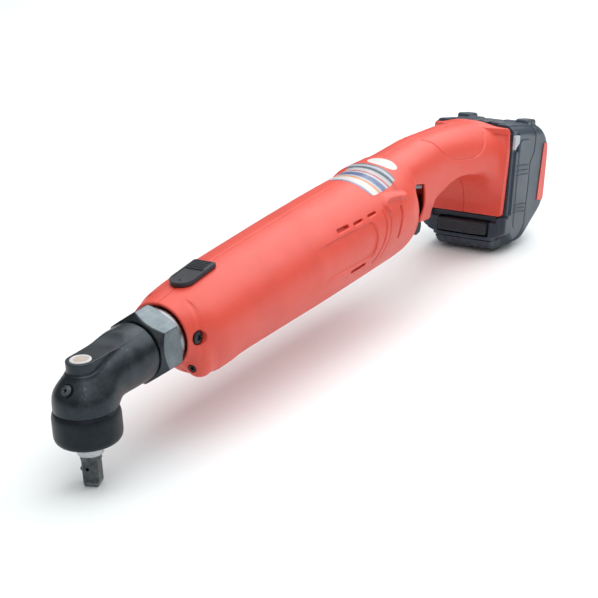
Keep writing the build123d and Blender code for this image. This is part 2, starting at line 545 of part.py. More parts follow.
# ---------------------------------------------------------------------------
# trigger, direction lever, switch and electronics
# ---------------------------------------------------------------------------
trig = prism_y([(-341.5, 0.0), (-341.5, -18.0), (-344.0, -25.0), (-350.0, -28.8), (-360.0, -31.6), (-366.0, -33.6), (-370.0, -32.4), (-372.8, -27.6), (-373.6, -22.0),
                (-373.0, -17.6), (-367.9, -17.6), (-367.5, 0.0)], -8.0, 8.0)
trig = soft(trig, trig.edges().filter_by(Axis.Y).group_by(Axis.Z)[0], 1.5)
trig = trig + box(-356.0, -350.0, -3.0, 3.0, -1.0, 6.0)
keep("trigger", trig)
keep("trigger_spring", cz(2.6, 0.0, 6.8, -362.0) - cz(1.9, -1, 8, -362.0))
switch = box(-386.0, -340.0, -11.0, 11.0, 14.0, 26.4) + box(-368.5, -348.6, -9.0, 9.0, 7.0, 14.0)
switch = switch - box(-356.4, -349.6, -3.4, 3.4, 0.0, 13.5)
keep("switch_body", switch)
lever = prism_y([(-342.6, 12.6), (-348.0, 11.15), (-348.0, 8.55), (-342.6, 10.0)], -20.5, 20.5)
for s in (1, -1):
    lever = lever + prism_y([(-342.6, 12.6), (-353.2, 9.75), (-353.2, 7.15), (-342.6, 10.0)], min(s * 13.0, s * 20.5), max(s * 13.0, s * 20.5))
keep("direction_lever", lever)
keep("control_board", box(-327.0, -290.0, -17.0, 17.0, -8.0, -6.4) + box(-320.0, -300.0, -12.0, 12.0, -6.4, 1.0))
keep("terminal_block", at_foot(box(-5.2, -0.8, -13.8, 13.8, 12.2, 55.8) + box(-1.0, 10.0, -13.8, 13.8, 36.0, 55.8)))
blades = [at_foot(box(-14.8, -5.3, y - 0.4, y + 0.4, 22.0, 42.0)) for y in (-9.0, 0.0, 9.0)]
keep("terminal_blades", *blades)

# ---------------------------------------------------------------------------
# battery pack, in the foot's frame
# ---------------------------------------------------------------------------
# the back slopes forward underneath, so the shells, their hollow and the cells follow that slope
front_side = [(-3.4, PACK_TOP), (-42.0, PACK_TOP), (-42.0, -8.7), (-19.0, -25.3), (-5.0, -25.3), (0.2, -19.5), (0.2, -2.2), (-1.2, -0.6), (-3.4, -0.6)]
hollow = [(-13.4, PACK_TOP - 2.6), (-54.5, PACK_TOP - 2.6), (-59.0, 61.5), (-61.2, 54.5), (-60.6, 10.4), (-58.4, 6.9), (-21.5, -19.8), (-13.4, -19.8)]
pack_front = prism_y(front_side, -PACK_W, PACK_W)
pack_front = soft(pack_front, pack_front.edges().filter_by(Axis.X).group_by(Axis.Z)[-1], 7.0)
pack_front = pack_front - box(-8.0, 10, -19.6, 19.6, 4.4, 90) - box(-11.2, -6.4, -23.6, 23.6, 4.4, 90)
pack_front = pack_front - prism_y(hollow, -33.2, 33.2)
for y in (-9.0, 0.0, 9.0):
    pack_front = pack_front - box(-20.0, -10.0, y - 1.2, y + 1.2, 20.0, 90)
# shadowed strip beside the foot
for s in (1, -1):
    pack_front = pack_front - box(-8.2, -3.0, s * 33.6, s * 40, 2.0, 50.0) - box(-12.0, -3.0, s * 33.6, s * 40, 49.0, 64.0)
# pocket for the release button
pack_front = pack_front - box(-8.6, 10, -21.0, 21.0, -16.4, -5.0)
# two ears on the upper end
for s in (1, -1):
    ear = box(-42.0, -33.0, s * 19.0, s * 33.0, PACK_TOP - 1.0, PACK_TOP + 3.0)
    pack_front = pack_front + soft(ear, ear.edges().filter_by(Axis.X).group_by(Axis.Z)[-1], 1.6)
keep("battery_front_shell", at_foot(pack_front))
rear_side = [(-42.05, PACK_TOP), (-54.0, PACK_TOP), (-62.0, 63.5), (-65.4, 55.0), (-64.6, 8.6), (-61.8, 5.6), (-42.05, -8.66)]
pack_rear = prism_y(rear_side, -PACK_W, PACK_W)
pack_rear = soft(pack_rear, pack_rear.edges().filter_by(Axis.X).group_by(Axis.Z)[-1], 7.0)
pack_rear = pack_rear - prism_y(hollow, -33.2, 33.2)
keep("battery_rear_shell", at_foot(pack_rear))
cells = [cy(9.05, -32.2, 32.2, x, -4.2 + 19.2 * k) for x, first in ((-26.4, 0), (-46.4, 1)) for k in range(first, 4)]
keep("battery_cells", *[at_foot(c) for c in cells])
keep("battery_board", at_foot(box(-15.4, -13.8, -24.0, 24.0, -6.0, 17.0)))
contacts = [at_foot(box(-15.8, -11.4, y + d - 0.25, y + d + 0.25, 21.0, 50.0)) for y in (-9.0, 0.0, 9.0) for d in (-0.9, 0.9)]
keep("battery_contacts", *contacts)
button = box(-5.8, 1.6, -20.4, 20.4, -15.8, -5.6)
button = soft(button, button.faces().sort_by(Axis.X)[-1].edges(), 1.2)
keep("battery_button", at_foot(button))
keep("button_springs", *[at_foot(cx(2.4, -8.5, -5.9, y, -10.7) - cx(1.7, -10, -2, y, -10.7)) for y in (-14.0, 14.0)])
strips = [box(-62.6, -55.5, s * PACK_W, s * (PACK_W + 0.4), 10.0, 54.0) for s in (1, -1)]
keep("battery_strip", *[at_foot(q) for q in strips])
keep("battery_rail_caps", *[at_foot(box(-11.4, -3.8, s * 33.65, s * 35.5, 50.4, 61.5)) for s in (1, -1)])
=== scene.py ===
import bmesh
import bpy
import math
import numpy as np
from mathutils import Matrix, Vector


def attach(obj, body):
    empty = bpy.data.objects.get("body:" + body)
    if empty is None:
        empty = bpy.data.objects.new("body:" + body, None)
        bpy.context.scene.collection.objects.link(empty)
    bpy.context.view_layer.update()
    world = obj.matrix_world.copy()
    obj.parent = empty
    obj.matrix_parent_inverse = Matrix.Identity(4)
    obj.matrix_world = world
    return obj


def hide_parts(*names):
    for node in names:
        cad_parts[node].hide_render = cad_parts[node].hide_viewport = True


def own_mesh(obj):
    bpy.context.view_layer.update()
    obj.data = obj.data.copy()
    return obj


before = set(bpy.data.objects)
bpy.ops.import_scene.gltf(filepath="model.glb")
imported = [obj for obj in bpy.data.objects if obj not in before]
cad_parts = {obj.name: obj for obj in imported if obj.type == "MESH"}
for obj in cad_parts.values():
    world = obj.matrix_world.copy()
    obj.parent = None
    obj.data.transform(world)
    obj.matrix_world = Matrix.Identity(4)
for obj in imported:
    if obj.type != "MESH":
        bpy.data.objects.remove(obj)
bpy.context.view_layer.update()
COARSE = 1.0
LIFT = 46.0          # working height of the barrel axis above the shoulder of the square, mm

# ---------------------------------------------------------------------------
# implicit shapes, all in millimetres in the working frame
# (X along the barrel to the head, Y to the left, Z up from the barrel axis)
# ---------------------------------------------------------------------------


def sm(a, b, k):
    """rounded union"""
    h = np.clip(0.5 + 0.5 * (b - a) / k, 0.0, 1.0)
    return b + (a - b) * h - k * h * (1.0 - h)


def sx(a, b, k):
    """rounded intersection"""
    return -sm(-a, -b, k)


def step(t):
    t = np.clip(t, 0.0, 1.0)
    return t * t * (3.0 - 2.0 * t)


def rbox(x, y, z, lo, hi, r):
    qx = np.abs(x - (lo[0] + hi[0]) / 2) - ((hi[0] - lo[0]) / 2 - r)
    qy = np.abs(y - (lo[1] + hi[1]) / 2) - ((hi[1] - lo[1]) / 2 - r)
    qz = np.abs(z - (lo[2] + hi[2]) / 2) - ((hi[2] - lo[2]) / 2 - r)
    out = np.sqrt(np.maximum(qx, 0) ** 2 + np.maximum(qy, 0) ** 2 + np.maximum(qz, 0) ** 2)
    return out + np.minimum(np.maximum(qx, np.maximum(qy, qz)), 0.0) - r


def rect2(u, v, lo, hi, r):
    qu = np.abs(u - (lo[0] + hi[0]) / 2) - ((hi[0] - lo[0]) / 2 - r)
    qv = np.abs(v - (lo[1] + hi[1]) / 2) - ((hi[1] - lo[1]) / 2 - r)
    return np.sqrt(np.maximum(qu, 0) ** 2 + np.maximum(qv, 0) ** 2) + np.minimum(np.maximum(qu, qv), 0.0) - r


def poly2(u, v, pts):
    """signed distance to a closed outline"""
    best, inside = None, None
    n = len(pts)
    for i in range(n):
        ax, ay = pts[i]
        bx, by = pts[(i + 1) % n]
        ex, ey = bx - ax, by - ay
        wx, wy = u - ax, v - ay
        t = np.clip((wx * ex + wy * ey) / (ex * ex + ey * ey), 0.0, 1.0)
        dd = (wx - ex * t) ** 2 + (wy - ey * t) ** 2
        best = dd if best is None else np.minimum(best, dd)
        c1, c2, c3 = v >= ay, v < by, ex * wy > ey * wx
        hit = (c1 & c2 & c3) | (~c1 & ~c2 & ~c3)
        inside = hit if inside is None else inside ^ hit
    return np.where(inside, -1.0, 1.0) * np.sqrt(best)


def path2(u, v, pts):
    """distance to an open line of straight pieces"""
    best = None
    for (ax, ay), (bx, by) in zip(pts[:-1], pts[1:]):
        ex, ey = bx - ax, by - ay
        wx, wy = u - ax, v - ay
        t = np.clip((wx * ex + wy * ey) / (ex * ex + ey * ey), 0.0, 1.0)
        dd = (wx - ex * t) ** 2 + (wy - ey * t) ** 2
        best = dd if best is None else np.minimum(best, dd)
    return np.sqrt(best)


def smooth_path(pts, n=8):
    """points of a rounded line through pts"""
    p = np.array(pts, float)
    q = np.vstack([2 * p[0] - p[1], p, 2 * p[-1] - p[-2]])
    out = []
    for i in range(1, len(q) - 2):
        for t in np.linspace(0, 1, n, endpoint=False):
            a = 2 * q[i]
            b = q[i + 1] - q[i - 1]
            c = 2 * q[i - 1] - 5 * q[i] + 4 * q[i + 1] - q[i + 2]
            d = -q[i - 1] + 3 * q[i] - 3 * q[i + 1] + q[i + 2]
            out.append(0.5 * (a + b * t + c * t * t + d * t ** 3))
    out.append(p[-1])
    return [tuple(o) for o in out]


def dense(rows, n=1200):
    """smooth tables through rows (first column ascending) without overshoot"""
    a = np.array(sorted(rows), float)
    x = a[:, 0]
    xs = np.linspace(x[0], x[-1], n)
    cols = [xs]
    for j in range(1, a.shape[1]):
        y = a[:, j]
        h = np.diff(x)
        dlt = np.diff(y) / h
        m = np.zeros(len(x))
        m[0], m[-1] = dlt[0], dlt[-1]
        for i in range(1, len(x) - 1):
            if dlt[i - 1] * dlt[i] > 0:
                w1, w2 = 2 * h[i] + h[i - 1], h[i] + 2 * h[i - 1]
                m[i] = (w1 + w2) / (w1 / dlt[i - 1] + w2 / dlt[i])
        k = np.clip(np.searchsorted(x, xs, side="right") - 1, 0, len(x) - 2)
        t = (xs - x[k]) / h[k]
        y0, y1, m0, m1 = y[k], y[k + 1], m[k] * h[k], m[k + 1] * h[k]
        cols.append((2 * t ** 3 - 3 * t ** 2 + 1) * y0 + (t ** 3 - 2 * t ** 2 + t) * m0 + (-2 * t ** 3 + 3 * t ** 2) * y1 + (t ** 3 - t ** 2) * m1)
    return cols


def at(x, tab, col):
    return np.interp(x, tab[0], tab[col]).astype(np.float32)


def near(d, x, y, z, lim):
    """the points of a block that lie within lim of the surface"""
    flat = np.nonzero(np.abs(d.ravel()) < lim)[0]
    get = lambda v: np.broadcast_to(v, d.shape).ravel()[flat]
    return flat, get(x), get(y), get(z)


# ---------------------------------------------------------------------------
# closed quad mesh of an implicit shape
# ---------------------------------------------------------------------------
def spaced(lo, hi, h, fine=()):
    """grid lines from lo to hi; fine is [(from, to, spacing)]"""
    out, x = [lo], lo
    while x < hi:
        s = h
        for a, b, k in fine:
            if a <= x <= b:
                s = k
        x += s * COARSE
        out.append(x)
    return np.array(out, np.float32)


def net(fn, xs, ys, zs, relax=2):
    nx, ny, nz = len(xs), len(ys), len(zs)
    D = np.empty((nx, ny, nz), np.float32)
    slab = max(1, int(1.2e6 / (ny * nz)))
    for i in range(0, nx, slab):
        D[i:i + slab] = fn(xs[i:i + slab, None, None], ys[None, :, None], zs[None, None, :])
    for f in (D[0], D[-1], D[:, 0], D[:, -1], D[:, :, 0], D[:, :, -1]):
        np.maximum(f, 0.05, out=f)
    D[D == 0] = 1e-4
    ins = D < 0
    cnt = np.zeros((nx - 1, ny - 1, nz - 1), np.int8)
    corners = [(a, b, c) for a in (0, 1) for b in (0, 1) for c in (0, 1)]
    for a, b, c in corners:
        cnt += ins[a:nx - 1 + a, b:ny - 1 + b, c:nz - 1 + c]
    I, J, K = np.nonzero((cnt > 0) & (cnt < 8))
    index = np.full(cnt.shape, -1, np.int32)
    index[I, J, K] = np.arange(len(I))
    P = np.zeros((len(I), 3))
    W = np.zeros(len(I))
    axes = (xs, ys, zs)
    for a in corners:
        for ax in range(3):
            if a[ax]:
                continue
            b = list(a)
            b[ax] = 1
            da = D[I + a[0], J + a[1], K + a[2]]
            db = D[I + b[0], J + b[1], K + b[2]]
            hit = (da < 0) != (db < 0)
            t = np.where(hit, da / np.where(hit, da - db, 1.0), 0.0)
            ijk = (I + a[0], J + a[1], K + a[2])
            for c in range(3):
                v = axes[c][ijk[c]]
                if c == ax:
                    v = v + t * (axes[c][np.minimum(ijk[c] + 1, len(axes[c]) - 1)] - v)
                P[:, c] += np.where(hit, v, 0.0)
            W += hit
    P /= W[:, None]
    quads = []
    e = ins[:-1, 1:-1, 1:-1] != ins[1:, 1:-1, 1:-1]
    i, j, k = np.nonzero(e)
    j, k = j + 1, k + 1
    q = np.stack([index[i, j - 1, k - 1], index[i, j, k - 1], index[i, j, k], index[i, j - 1, k]], 1)
    flip = ins[i + 1, j, k]
    q[flip] = q[flip][:, ::-1]
    quads.append(q)
    e = ins[1:-1, :-1, 1:-1] != ins[1:-1, 1:, 1:-1]
    i, j, k = np.nonzero(e)
    i, k = i + 1, k + 1
    q = np.stack([index[i - 1, j, k - 1], index[i - 1, j, k], index[i, j, k], index[i, j, k - 1]], 1)
    flip = ins[i, j + 1, k]
    q[flip] = q[flip][:, ::-1]
    quads.append(q)
    e = ins[1:-1, 1:-1, :-1] != ins[1:-1, 1:-1, 1:]
    i, j, k = np.nonzero(e)
    i, j = i + 1, j + 1
    q = np.stack([index[i - 1, j - 1, k], index[i, j - 1, k], index[i, j, k], index[i - 1, j, k]], 1)
    flip = ins[i, j, k + 1]
    q[flip] = q[flip][:, ::-1]
    quads.append(q)
    Q = np.concatenate(quads)
    edges = np.concatenate([Q[:, [0, 1]], Q[:, [1, 2]], Q[:, [2, 3]], Q[:, [3, 0]]])
    h = float(min(np.diff(xs).max(), np.diff(ys).max(), np.diff(zs).max()))

    def value(p):
        p = p.astype(np.float32)
        return np.asarray(fn(p[:, 0], p[:, 1], p[:, 2]), float)

    def slope(p, e=0.12):
        g = np.empty_like(p)
        for c in range(3):
            q = p.copy()
            q[:, c] += e
            hi = value(q)
            q[:, c] -= 2 * e
            g[:, c] = (hi - value(q)) / (2 * e)
        return g

    def settle(p):
        g = slope(p)
        d = value(p)
        m = np.maximum((g * g).sum(1), 0.15)
        move = np.clip(-d / m, -0.7 * h, 0.7 * h)
        lim = 0.8 * h
        return p + np.clip(g * move[:, None], -lim, lim)

    P = settle(P)
    for _ in range(relax):
        acc = np.zeros_like(P)
        num = np.zeros(len(P))
        for a, b in ((0, 1), (1, 0)):
            np.add.at(acc, edges[:, a], P[edges[:, b]])
            np.add.at(num, edges[:, a], 1)
        P = settle(P + 0.5 * (acc / num[:, None] - P))
    N = slope(P, 0.16)
    N /= np.maximum(np.linalg.norm(N, axis=1), 1e-9)[:, None]
    return P, Q, N


def shape(name, fn, xs, ys, zs, body, nodes, mat, relax=2, normals=True, place=None):
    """a piece of the object from an implicit shape, riding on a body and standing for CAD nodes"""
    P, Q, N = net(fn, xs, ys, zs, relax)
    if place is not None:
        R, T = place
        P, N = P @ R.T + T, N @ R.T
    V = (P + np.array([0, 0, LIFT])) / 1000.0
    return add_mesh(name, V, Q, N if normals else None, body, nodes, mat)


def add_mesh(name, V, Q, N, body, nodes, mat):
    me = bpy.data.meshes.new(name)
    me.from_pydata([], [], [])
    nv, nf, w = len(V), len(Q), Q.shape[1]
    me.vertices.add(nv)
    me.vertices.foreach_set("co", np.asarray(V, np.float32).ravel())
    me.loops.add(nf * w)
    me.loops.foreach_set("vertex_index", np.asarray(Q, np.int32).ravel())
    me.polygons.add(nf)
    me.polygons.foreach_set("loop_start", np.arange(0, nf * w, w, dtype=np.int32))
    me.polygons.foreach_set("use_smooth", np.ones(nf, bool))
    me.update(calc_edges=True)
    me.validate(clean_customdata=False)
    if N is not None and len(me.vertices) == nv:
        me.normals_split_custom_set_from_vertices(np.asarray(N, np.float32))
    ob = bpy.data.objects.new(name, me)
    bpy.context.scene.collection.objects.link(ob)
    me.materials.append(mat)
    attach(ob, body)
    if nodes:
        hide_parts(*nodes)
    return ob


# ---------------------------------------------------------------------------
# materials
# ---------------------------------------------------------------------------
class Mat:
    """a small builder for node materials in object coordinates (metres)"""

    def __init__(self, name):
        self.m = bpy.data.materials.new(name)
        self.m.use_nodes = True
        self.t = self.m.node_tree
        self.b = self.t.nodes["Principled BSDF"]
        self.co = self.t.nodes.new("ShaderNodeTexCoord").outputs["Object"]

    def set(self, **kw):
        for k, v in kw.items():
            self.b.inputs[k.replace("_", " ")].default_value = v
        return self

    def link(self, a, b):
        self.t.links.new(a, b)

    def noise(self, scale, detail=3.0, rough=0.55, stretch=None, kind="FBM"):
        n = self.t.nodes.new("ShaderNodeTexNoise")
        n.noise_type = kind
        n.inputs["Scale"].default_value = scale
        n.inputs["Detail"].default_value = detail
        n.inputs["Roughness"].default_value = rough
        src = self.co
        if stretch is not None:
            mp = self.t.nodes.new("ShaderNodeMapping")
            mp.inputs["Scale"].default_value = stretch
            self.link(self.co, mp.inputs["Vector"])
            src = mp.outputs["Vector"]
        self.link(src, n.inputs["Vector"])
        return n.outputs["Fac"]

    def cells(self, scale, feature="F1", stretch=None):
        n = self.t.nodes.new("ShaderNodeTexVoronoi")
        n.feature = feature
        n.inputs["Scale"].default_value = scale
        src = self.co
        if stretch is not None:
            mp = self.t.nodes.new("ShaderNodeMapping")
            mp.inputs["Scale"].default_value = stretch
            self.link(self.co, mp.inputs["Vector"])
            src = mp.outputs["Vector"]
        self.link(src, n.inputs["Vector"])
        return n.outputs["Distance"]

    def ramp(self, fac, stops):
        r = self.t.nodes.new("ShaderNodeValToRGB")
        el = r.color_ramp.elements
        while len(el) < len(stops):
            el.new(0.5)
        for e, (p, c) in zip(el, stops):
            e.position = p
            e.color = c if len(c) == 4 else (*c, 1.0)
        self.link(fac, r.inputs["Fac"])
        return r.outputs["Color"]

    def span(self, fac, lo, hi, a=0.0, b=1.0):
        r = self.t.nodes.new("ShaderNodeMapRange")
        r.inputs["From Min"].default_value = a
        r.inputs["From Max"].default_value = b
        r.inputs["To Min"].default_value = lo
        r.inputs["To Max"].default_value = hi
        self.link(fac, r.inputs["Value"])
        return r.outputs["Result"]

    def math(self, op, a, b):
        n = self.t.nodes.new("ShaderNodeMath")
        n.operation = op
        for i, v in enumerate((a, b)):
            if isinstance(v, (int, float)):
                n.inputs[i].default_value = v
            else:
                self.link(v, n.inputs[i])
        return n.outputs[0]

    def mix(self, fac, a, b, mode="MIX"):
        n = self.t.nodes.new("ShaderNodeMix")
        n.data_type = "RGBA"
        n.blend_type = mode
        ins = [s for s in n.inputs if s.enabled]
        for s, v in zip(ins, (fac, a, b)):
            if isinstance(v, (int, float)):
                s.default_value = v
            elif isinstance(v, tuple):
                s.default_value = v if len(v) == 4 else (*v, 1.0)
            else:
                self.link(v, s)
        return [o for o in n.outputs if o.enabled][0]

    def axis(self, name):
        n = self.t.nodes.new("ShaderNodeSeparateXYZ")
        self.link(self.co, n.inputs[0])
        return n.outputs[name]

    def edge(self, lo, hi):
        """0 on flat places, 1 on convex edges"""
        g = self.t.nodes.new("ShaderNodeNewGeometry")
        return self.span(g.outputs["Pointiness"], 0.0, 1.0, lo, hi)

    def bump(self, *layers):
        """layers of (height, strength, distance in metres)"""
        last = None
        for h, s, dist in layers:
            n = self.t.nodes.new("ShaderNodeBump")
            n.inputs["Strength"].default_value = s
            n.inputs["Distance"].default_value = dist
            self.link(h, n.inputs["Height"])
            if last is not None:
                self.link(last, n.inputs["Normal"])
            last = n.outputs["Normal"]
        self.link(last, self.b.inputs["Normal"])
        return self

    def colour(self, sock):
        self.link(sock, self.b.inputs["Base Color"])
        return self

    def rough(self, sock):
        self.link(sock, self.b.inputs["Roughness"])
        return self


def plastic(name, dark, base, light, rough=(0.38, 0.5), grain=2600.0, grain_h=0.00006, spec=0.5):
    """moulded plastic: fine spark texture, soft colour drift, lighter rubbed edges"""
    m = Mat(name)
    drift = m.noise(22.0, 3.0)
    fine = m.noise(grain, 2.0, 0.6)
    col = m.ramp(drift, [(0.30, dark), (0.52, base), (0.75, base)])
    rub = m.math("MULTIPLY", m.edge(0.535, 0.66), m.span(m.noise(90.0, 3.0), 0.15, 0.6, 0.35, 0.7))
    m.colour(m.mix(rub, col, light))
    m.rough(m.span(m.math("ADD", m.noise(48.0, 4.0), m.math("MULTIPLY", fine, 0.35)), rough[0], rough[1], 0.45, 0.95))
    m.set(**{"Specular IOR Level": spec})
    m.bump((m.noise(70.0, 2.0), 0.05, 0.0002), (fine, 0.35, grain_h))
    return m.m


def steel(name, dark, base, light, rough=(0.3, 0.45), metal=1.0, grain=(900.0, 60.0, 900.0), worn=None, bump=0.12):
    m = Mat(name)
    blot = m.noise(90.0, 4.0, 0.6)
    lines = m.noise(1.0, 3.0, 0.6, stretch=grain)
    col = m.ramp(m.math("ADD", m.math("MULTIPLY", blot, 0.7), m.math("MULTIPLY", lines, 0.3)), [(0.32, dark), (0.5, base), (0.68, light)])
    if worn is not None:
        rub = m.math("MULTIPLY", m.edge(0.53, 0.66), m.span(m.noise(120.0, 3.0), 0.3, 0.9, 0.35, 0.65))
        col = m.mix(rub, col, worn)
    m.colour(col)
    m.rough(m.span(m.math("ADD", m.math("MULTIPLY", blot, 0.5), m.math("MULTIPLY", lines, 0.5)), rough[0], rough[1], 0.35, 0.65))
    m.set(Metallic=metal)
    m.bump((lines, bump, 0.00005), (m.noise(1400.0, 2.0), bump, 0.00003))
    return m.m


M_RED = plastic("red_plastic", (0.62, 0.056, 0.034), (0.69, 0.066, 0.040), (0.76, 0.14, 0.10), (0.40, 0.52), spec=0.6)
M_BLACK = plastic("black_plastic", (0.009, 0.010, 0.013), (0.015, 0.017, 0.021), (0.05, 0.054, 0.06), (0.40, 0.55), spec=0.32)
M_PACK = plastic("pack_plastic", (0.018, 0.029, 0.045), (0.029, 0.045, 0.067), (0.078, 0.102, 0.132), (0.34, 0.48), spec=0.55)
M_SLATE = plastic("slate_plastic", (0.015, 0.018, 0.024), (0.025, 0.030, 0.038), (0.07, 0.078, 0.09), (0.38, 0.52), spec=0.36)
M_PEBBLE = plastic("pebbled_plastic", (0.018, 0.022, 0.028), (0.030, 0.036, 0.044), (0.09, 0.10, 0.112), (0.38, 0.52), grain=1100.0, grain_h=0.0004, spec=0.34)
M_LEVER = plastic("lever_plastic", (0.15, 0.155, 0.165), (0.20, 0.205, 0.215), (0.28, 0.285, 0.295), (0.44, 0.56))
M_GREY = plastic("grey_plastic", (0.36, 0.40, 0.43), (0.45, 0.49, 0.53), (0.56, 0.60, 0.63), (0.4, 0.52))
M_WHITE = plastic("white_plastic", (0.58, 0.55, 0.53), (0.68, 0.66, 0.64), (0.76, 0.74, 0.72), (0.4, 0.55))
M_HEAD = steel("phosphated_steel", (0.024, 0.030, 0.036), (0.035, 0.043, 0.050), (0.050, 0.060, 0.068), (0.30, 0.42), 0.8, (500.0, 500.0, 500.0), (0.09, 0.10, 0.11), 0.14)
M_CAP = steel("blackened_steel", (0.008, 0.011, 0.015), (0.013, 0.018, 0.023), (0.022, 0.028, 0.034), (0.36, 0.48), 0.7, (500.0, 500.0, 500.0), (0.08, 0.09, 0.10), 0.14)
M_BRIGHT = steel("bright_steel", (0.20, 0.21, 0.22), (0.28, 0.29, 0.30), (0.36, 0.37, 0.38), (0.22, 0.36), 1.0, (1400.0, 120.0, 120.0), None, 0.1)
M_DRIVE = steel("drive_steel", (0.035, 0.04, 0.045), (0.058, 0.065, 0.07), (0.10, 0.11, 0.118), (0.36, 0.5), 0.85, (300.0, 300.0, 1200.0), (0.36, 0.38, 0.40), 0.2)
M_GEAR = steel("gear_steel", (0.32, 0.33, 0.35), (0.44, 0.45, 0.47), (0.56, 0.57, 0.59), (0.28, 0.42), 1.0, (900.0, 200.0, 200.0), None, 0.15)
M_MOTOR = steel("motor_steel", (0.40, 0.41, 0.42), (0.52, 0.53, 0.54), (0.60, 0.61, 0.62), (0.3, 0.45), 1.0, (60.0, 700.0, 700.0), None, 0.12)
M_ALLOY = steel("cast_alloy", (0.46, 0.47, 0.49), (0.58, 0.59, 0.61), (0.66, 0.67, 0.69), (0.38, 0.55), 1.0, (600.0, 600.0, 600.0), None, 0.3)
M_BRONZE = steel("bronze", (0.50, 0.34, 0.17), (0.62, 0.44, 0.24), (0.70, 0.52, 0.30), (0.35, 0.5), 1.0, (700.0, 700.0, 700.0), None, 0.25)
M_COPPER = steel("copper", (0.58, 0.28, 0.16), (0.70, 0.38, 0.24), (0.78, 0.48, 0.32), (0.25, 0.4), 1.0, (800.0, 90.0, 90.0), None, 0.12)
M_SCREW = steel("black_screw", (0.05, 0.055, 0.06), (0.09, 0.095, 0.10), (0.14, 0.15, 0.155), (0.3, 0.45), 0.9, (400.0, 400.0, 400.0), (0.4, 0.41, 0.42), 0.2)
M_HEADS = steel("socket_screw", (0.018, 0.020, 0.024), (0.034, 0.038, 0.044), (0.07, 0.076, 0.084), (0.26, 0.40), 0.85, (400.0, 400.0, 400.0), (0.20, 0.21, 0.22), 0.2)
M_MAGNET = steel("ferrite", (0.09, 0.09, 0.10), (0.13, 0.13, 0.14), (0.17, 0.17, 0.18), (0.5, 0.65), 0.3, (500.0, 500.0, 500.0), None, 0.4)
M_RUBBER = plastic("seal_rubber", (0.012, 0.012, 0.012), (0.02, 0.02, 0.02), (0.05, 0.05, 0.05), (0.55, 0.7), 1800.0, 0.0001)
M_BOARD = plastic("board_lacquer", (0.010, 0.07, 0.035), (0.018, 0.11, 0.055), (0.1, 0.2, 0.12), (0.25, 0.4), 900.0, 0.00003)
M_CELL = plastic("cell_wrap", (0.03, 0.10, 0.19), (0.05, 0.14, 0.26), (0.15, 0.26, 0.38), (0.22, 0.34), 500.0, 0.00004)
M_STRIP = plastic("red_strip", (0.58, 0.045, 0.026), (0.70, 0.060, 0.034), (0.78, 0.14, 0.09), (0.28, 0.4), 900.0, 0.00003)



def plug_white():
    """moulded plug: off-white rim, slightly warmer worn middle"""
    m = Mat("plug_two_tone")
    x, y = m.axis("X"), m.axis("Y")
    r = m.math("SQRT", m.math("ADD", m.math("MULTIPLY", x, x), m.math("MULTIPLY", y, y)), 0.0)
    mid = m.span(m.math("ADD", r, m.math("MULTIPLY", m.noise(420.0, 3.0), 0.0012)), 1.0, 0.0, 0.0043, 0.0056)
    rim = m.ramp(m.noise(300.0, 3.0), [(0.3, (0.50, 0.50, 0.51)), (0.7, (0.62, 0.62, 0.63))])
    core = m.ramp(m.noise(520.0, 4.0), [(0.3, (0.40, 0.32, 0.27)), (0.7, (0.52, 0.44, 0.38))])
    m.colour(m.mix(mid, rim, core))
    m.rough(m.span(m.noise(600.0, 3.0), 0.36, 0.55, 0.3, 0.7))
    m.bump((m.noise(1500.0, 2.0), 0.2, 0.00004))
    return m.m


def spindle_steel():
    """bright ground collar, blackened square, worn tip"""
    m = Mat("spindle_steel")
    z = m.axis("Z")
    blot = m.noise(260.0, 4.0)
    fine = m.noise(1.0, 3.0, 0.6, stretch=(500.0, 500.0, 2600.0))
    bright = m.ramp(fine, [(0.3, (0.33, 0.34, 0.35)), (0.5, (0.44, 0.45, 0.46)), (0.7, (0.54, 0.55, 0.56))])
    black = m.ramp(blot, [(0.3, (0.040, 0.046, 0.050)), (0.5, (0.070, 0.078, 0.082)), (0.72, (0.115, 0.125, 0.13))])
    worn = m.ramp(blot, [(0.3, (0.13, 0.145, 0.15)), (0.7, (0.24, 0.26, 0.265))])
    edge = m.math("MULTIPLY", m.edge(0.52, 0.60), m.span(m.noise(700.0, 3.0), 0.3, 1.0, 0.35, 0.65))
    tip = m.span(m.math("ADD", z, m.math("MULTIPLY", m.noise(350.0, 3.0), 0.0016)), 1.0, 0.0, -0.0138, -0.0122)
    low = m.mix(m.math("MAXIMUM", tip, edge), black, worn)
    col = m.mix(m.span(z, 0.0, 1.0, 0.0028, 0.0032), low, bright)
    m.colour(col)
    m.rough(m.span(fine, 0.24, 0.42, 0.3, 0.7))
    m.set(Metallic=0.9)
    m.bump((fine, 0.12, 0.00004))
    return m.m


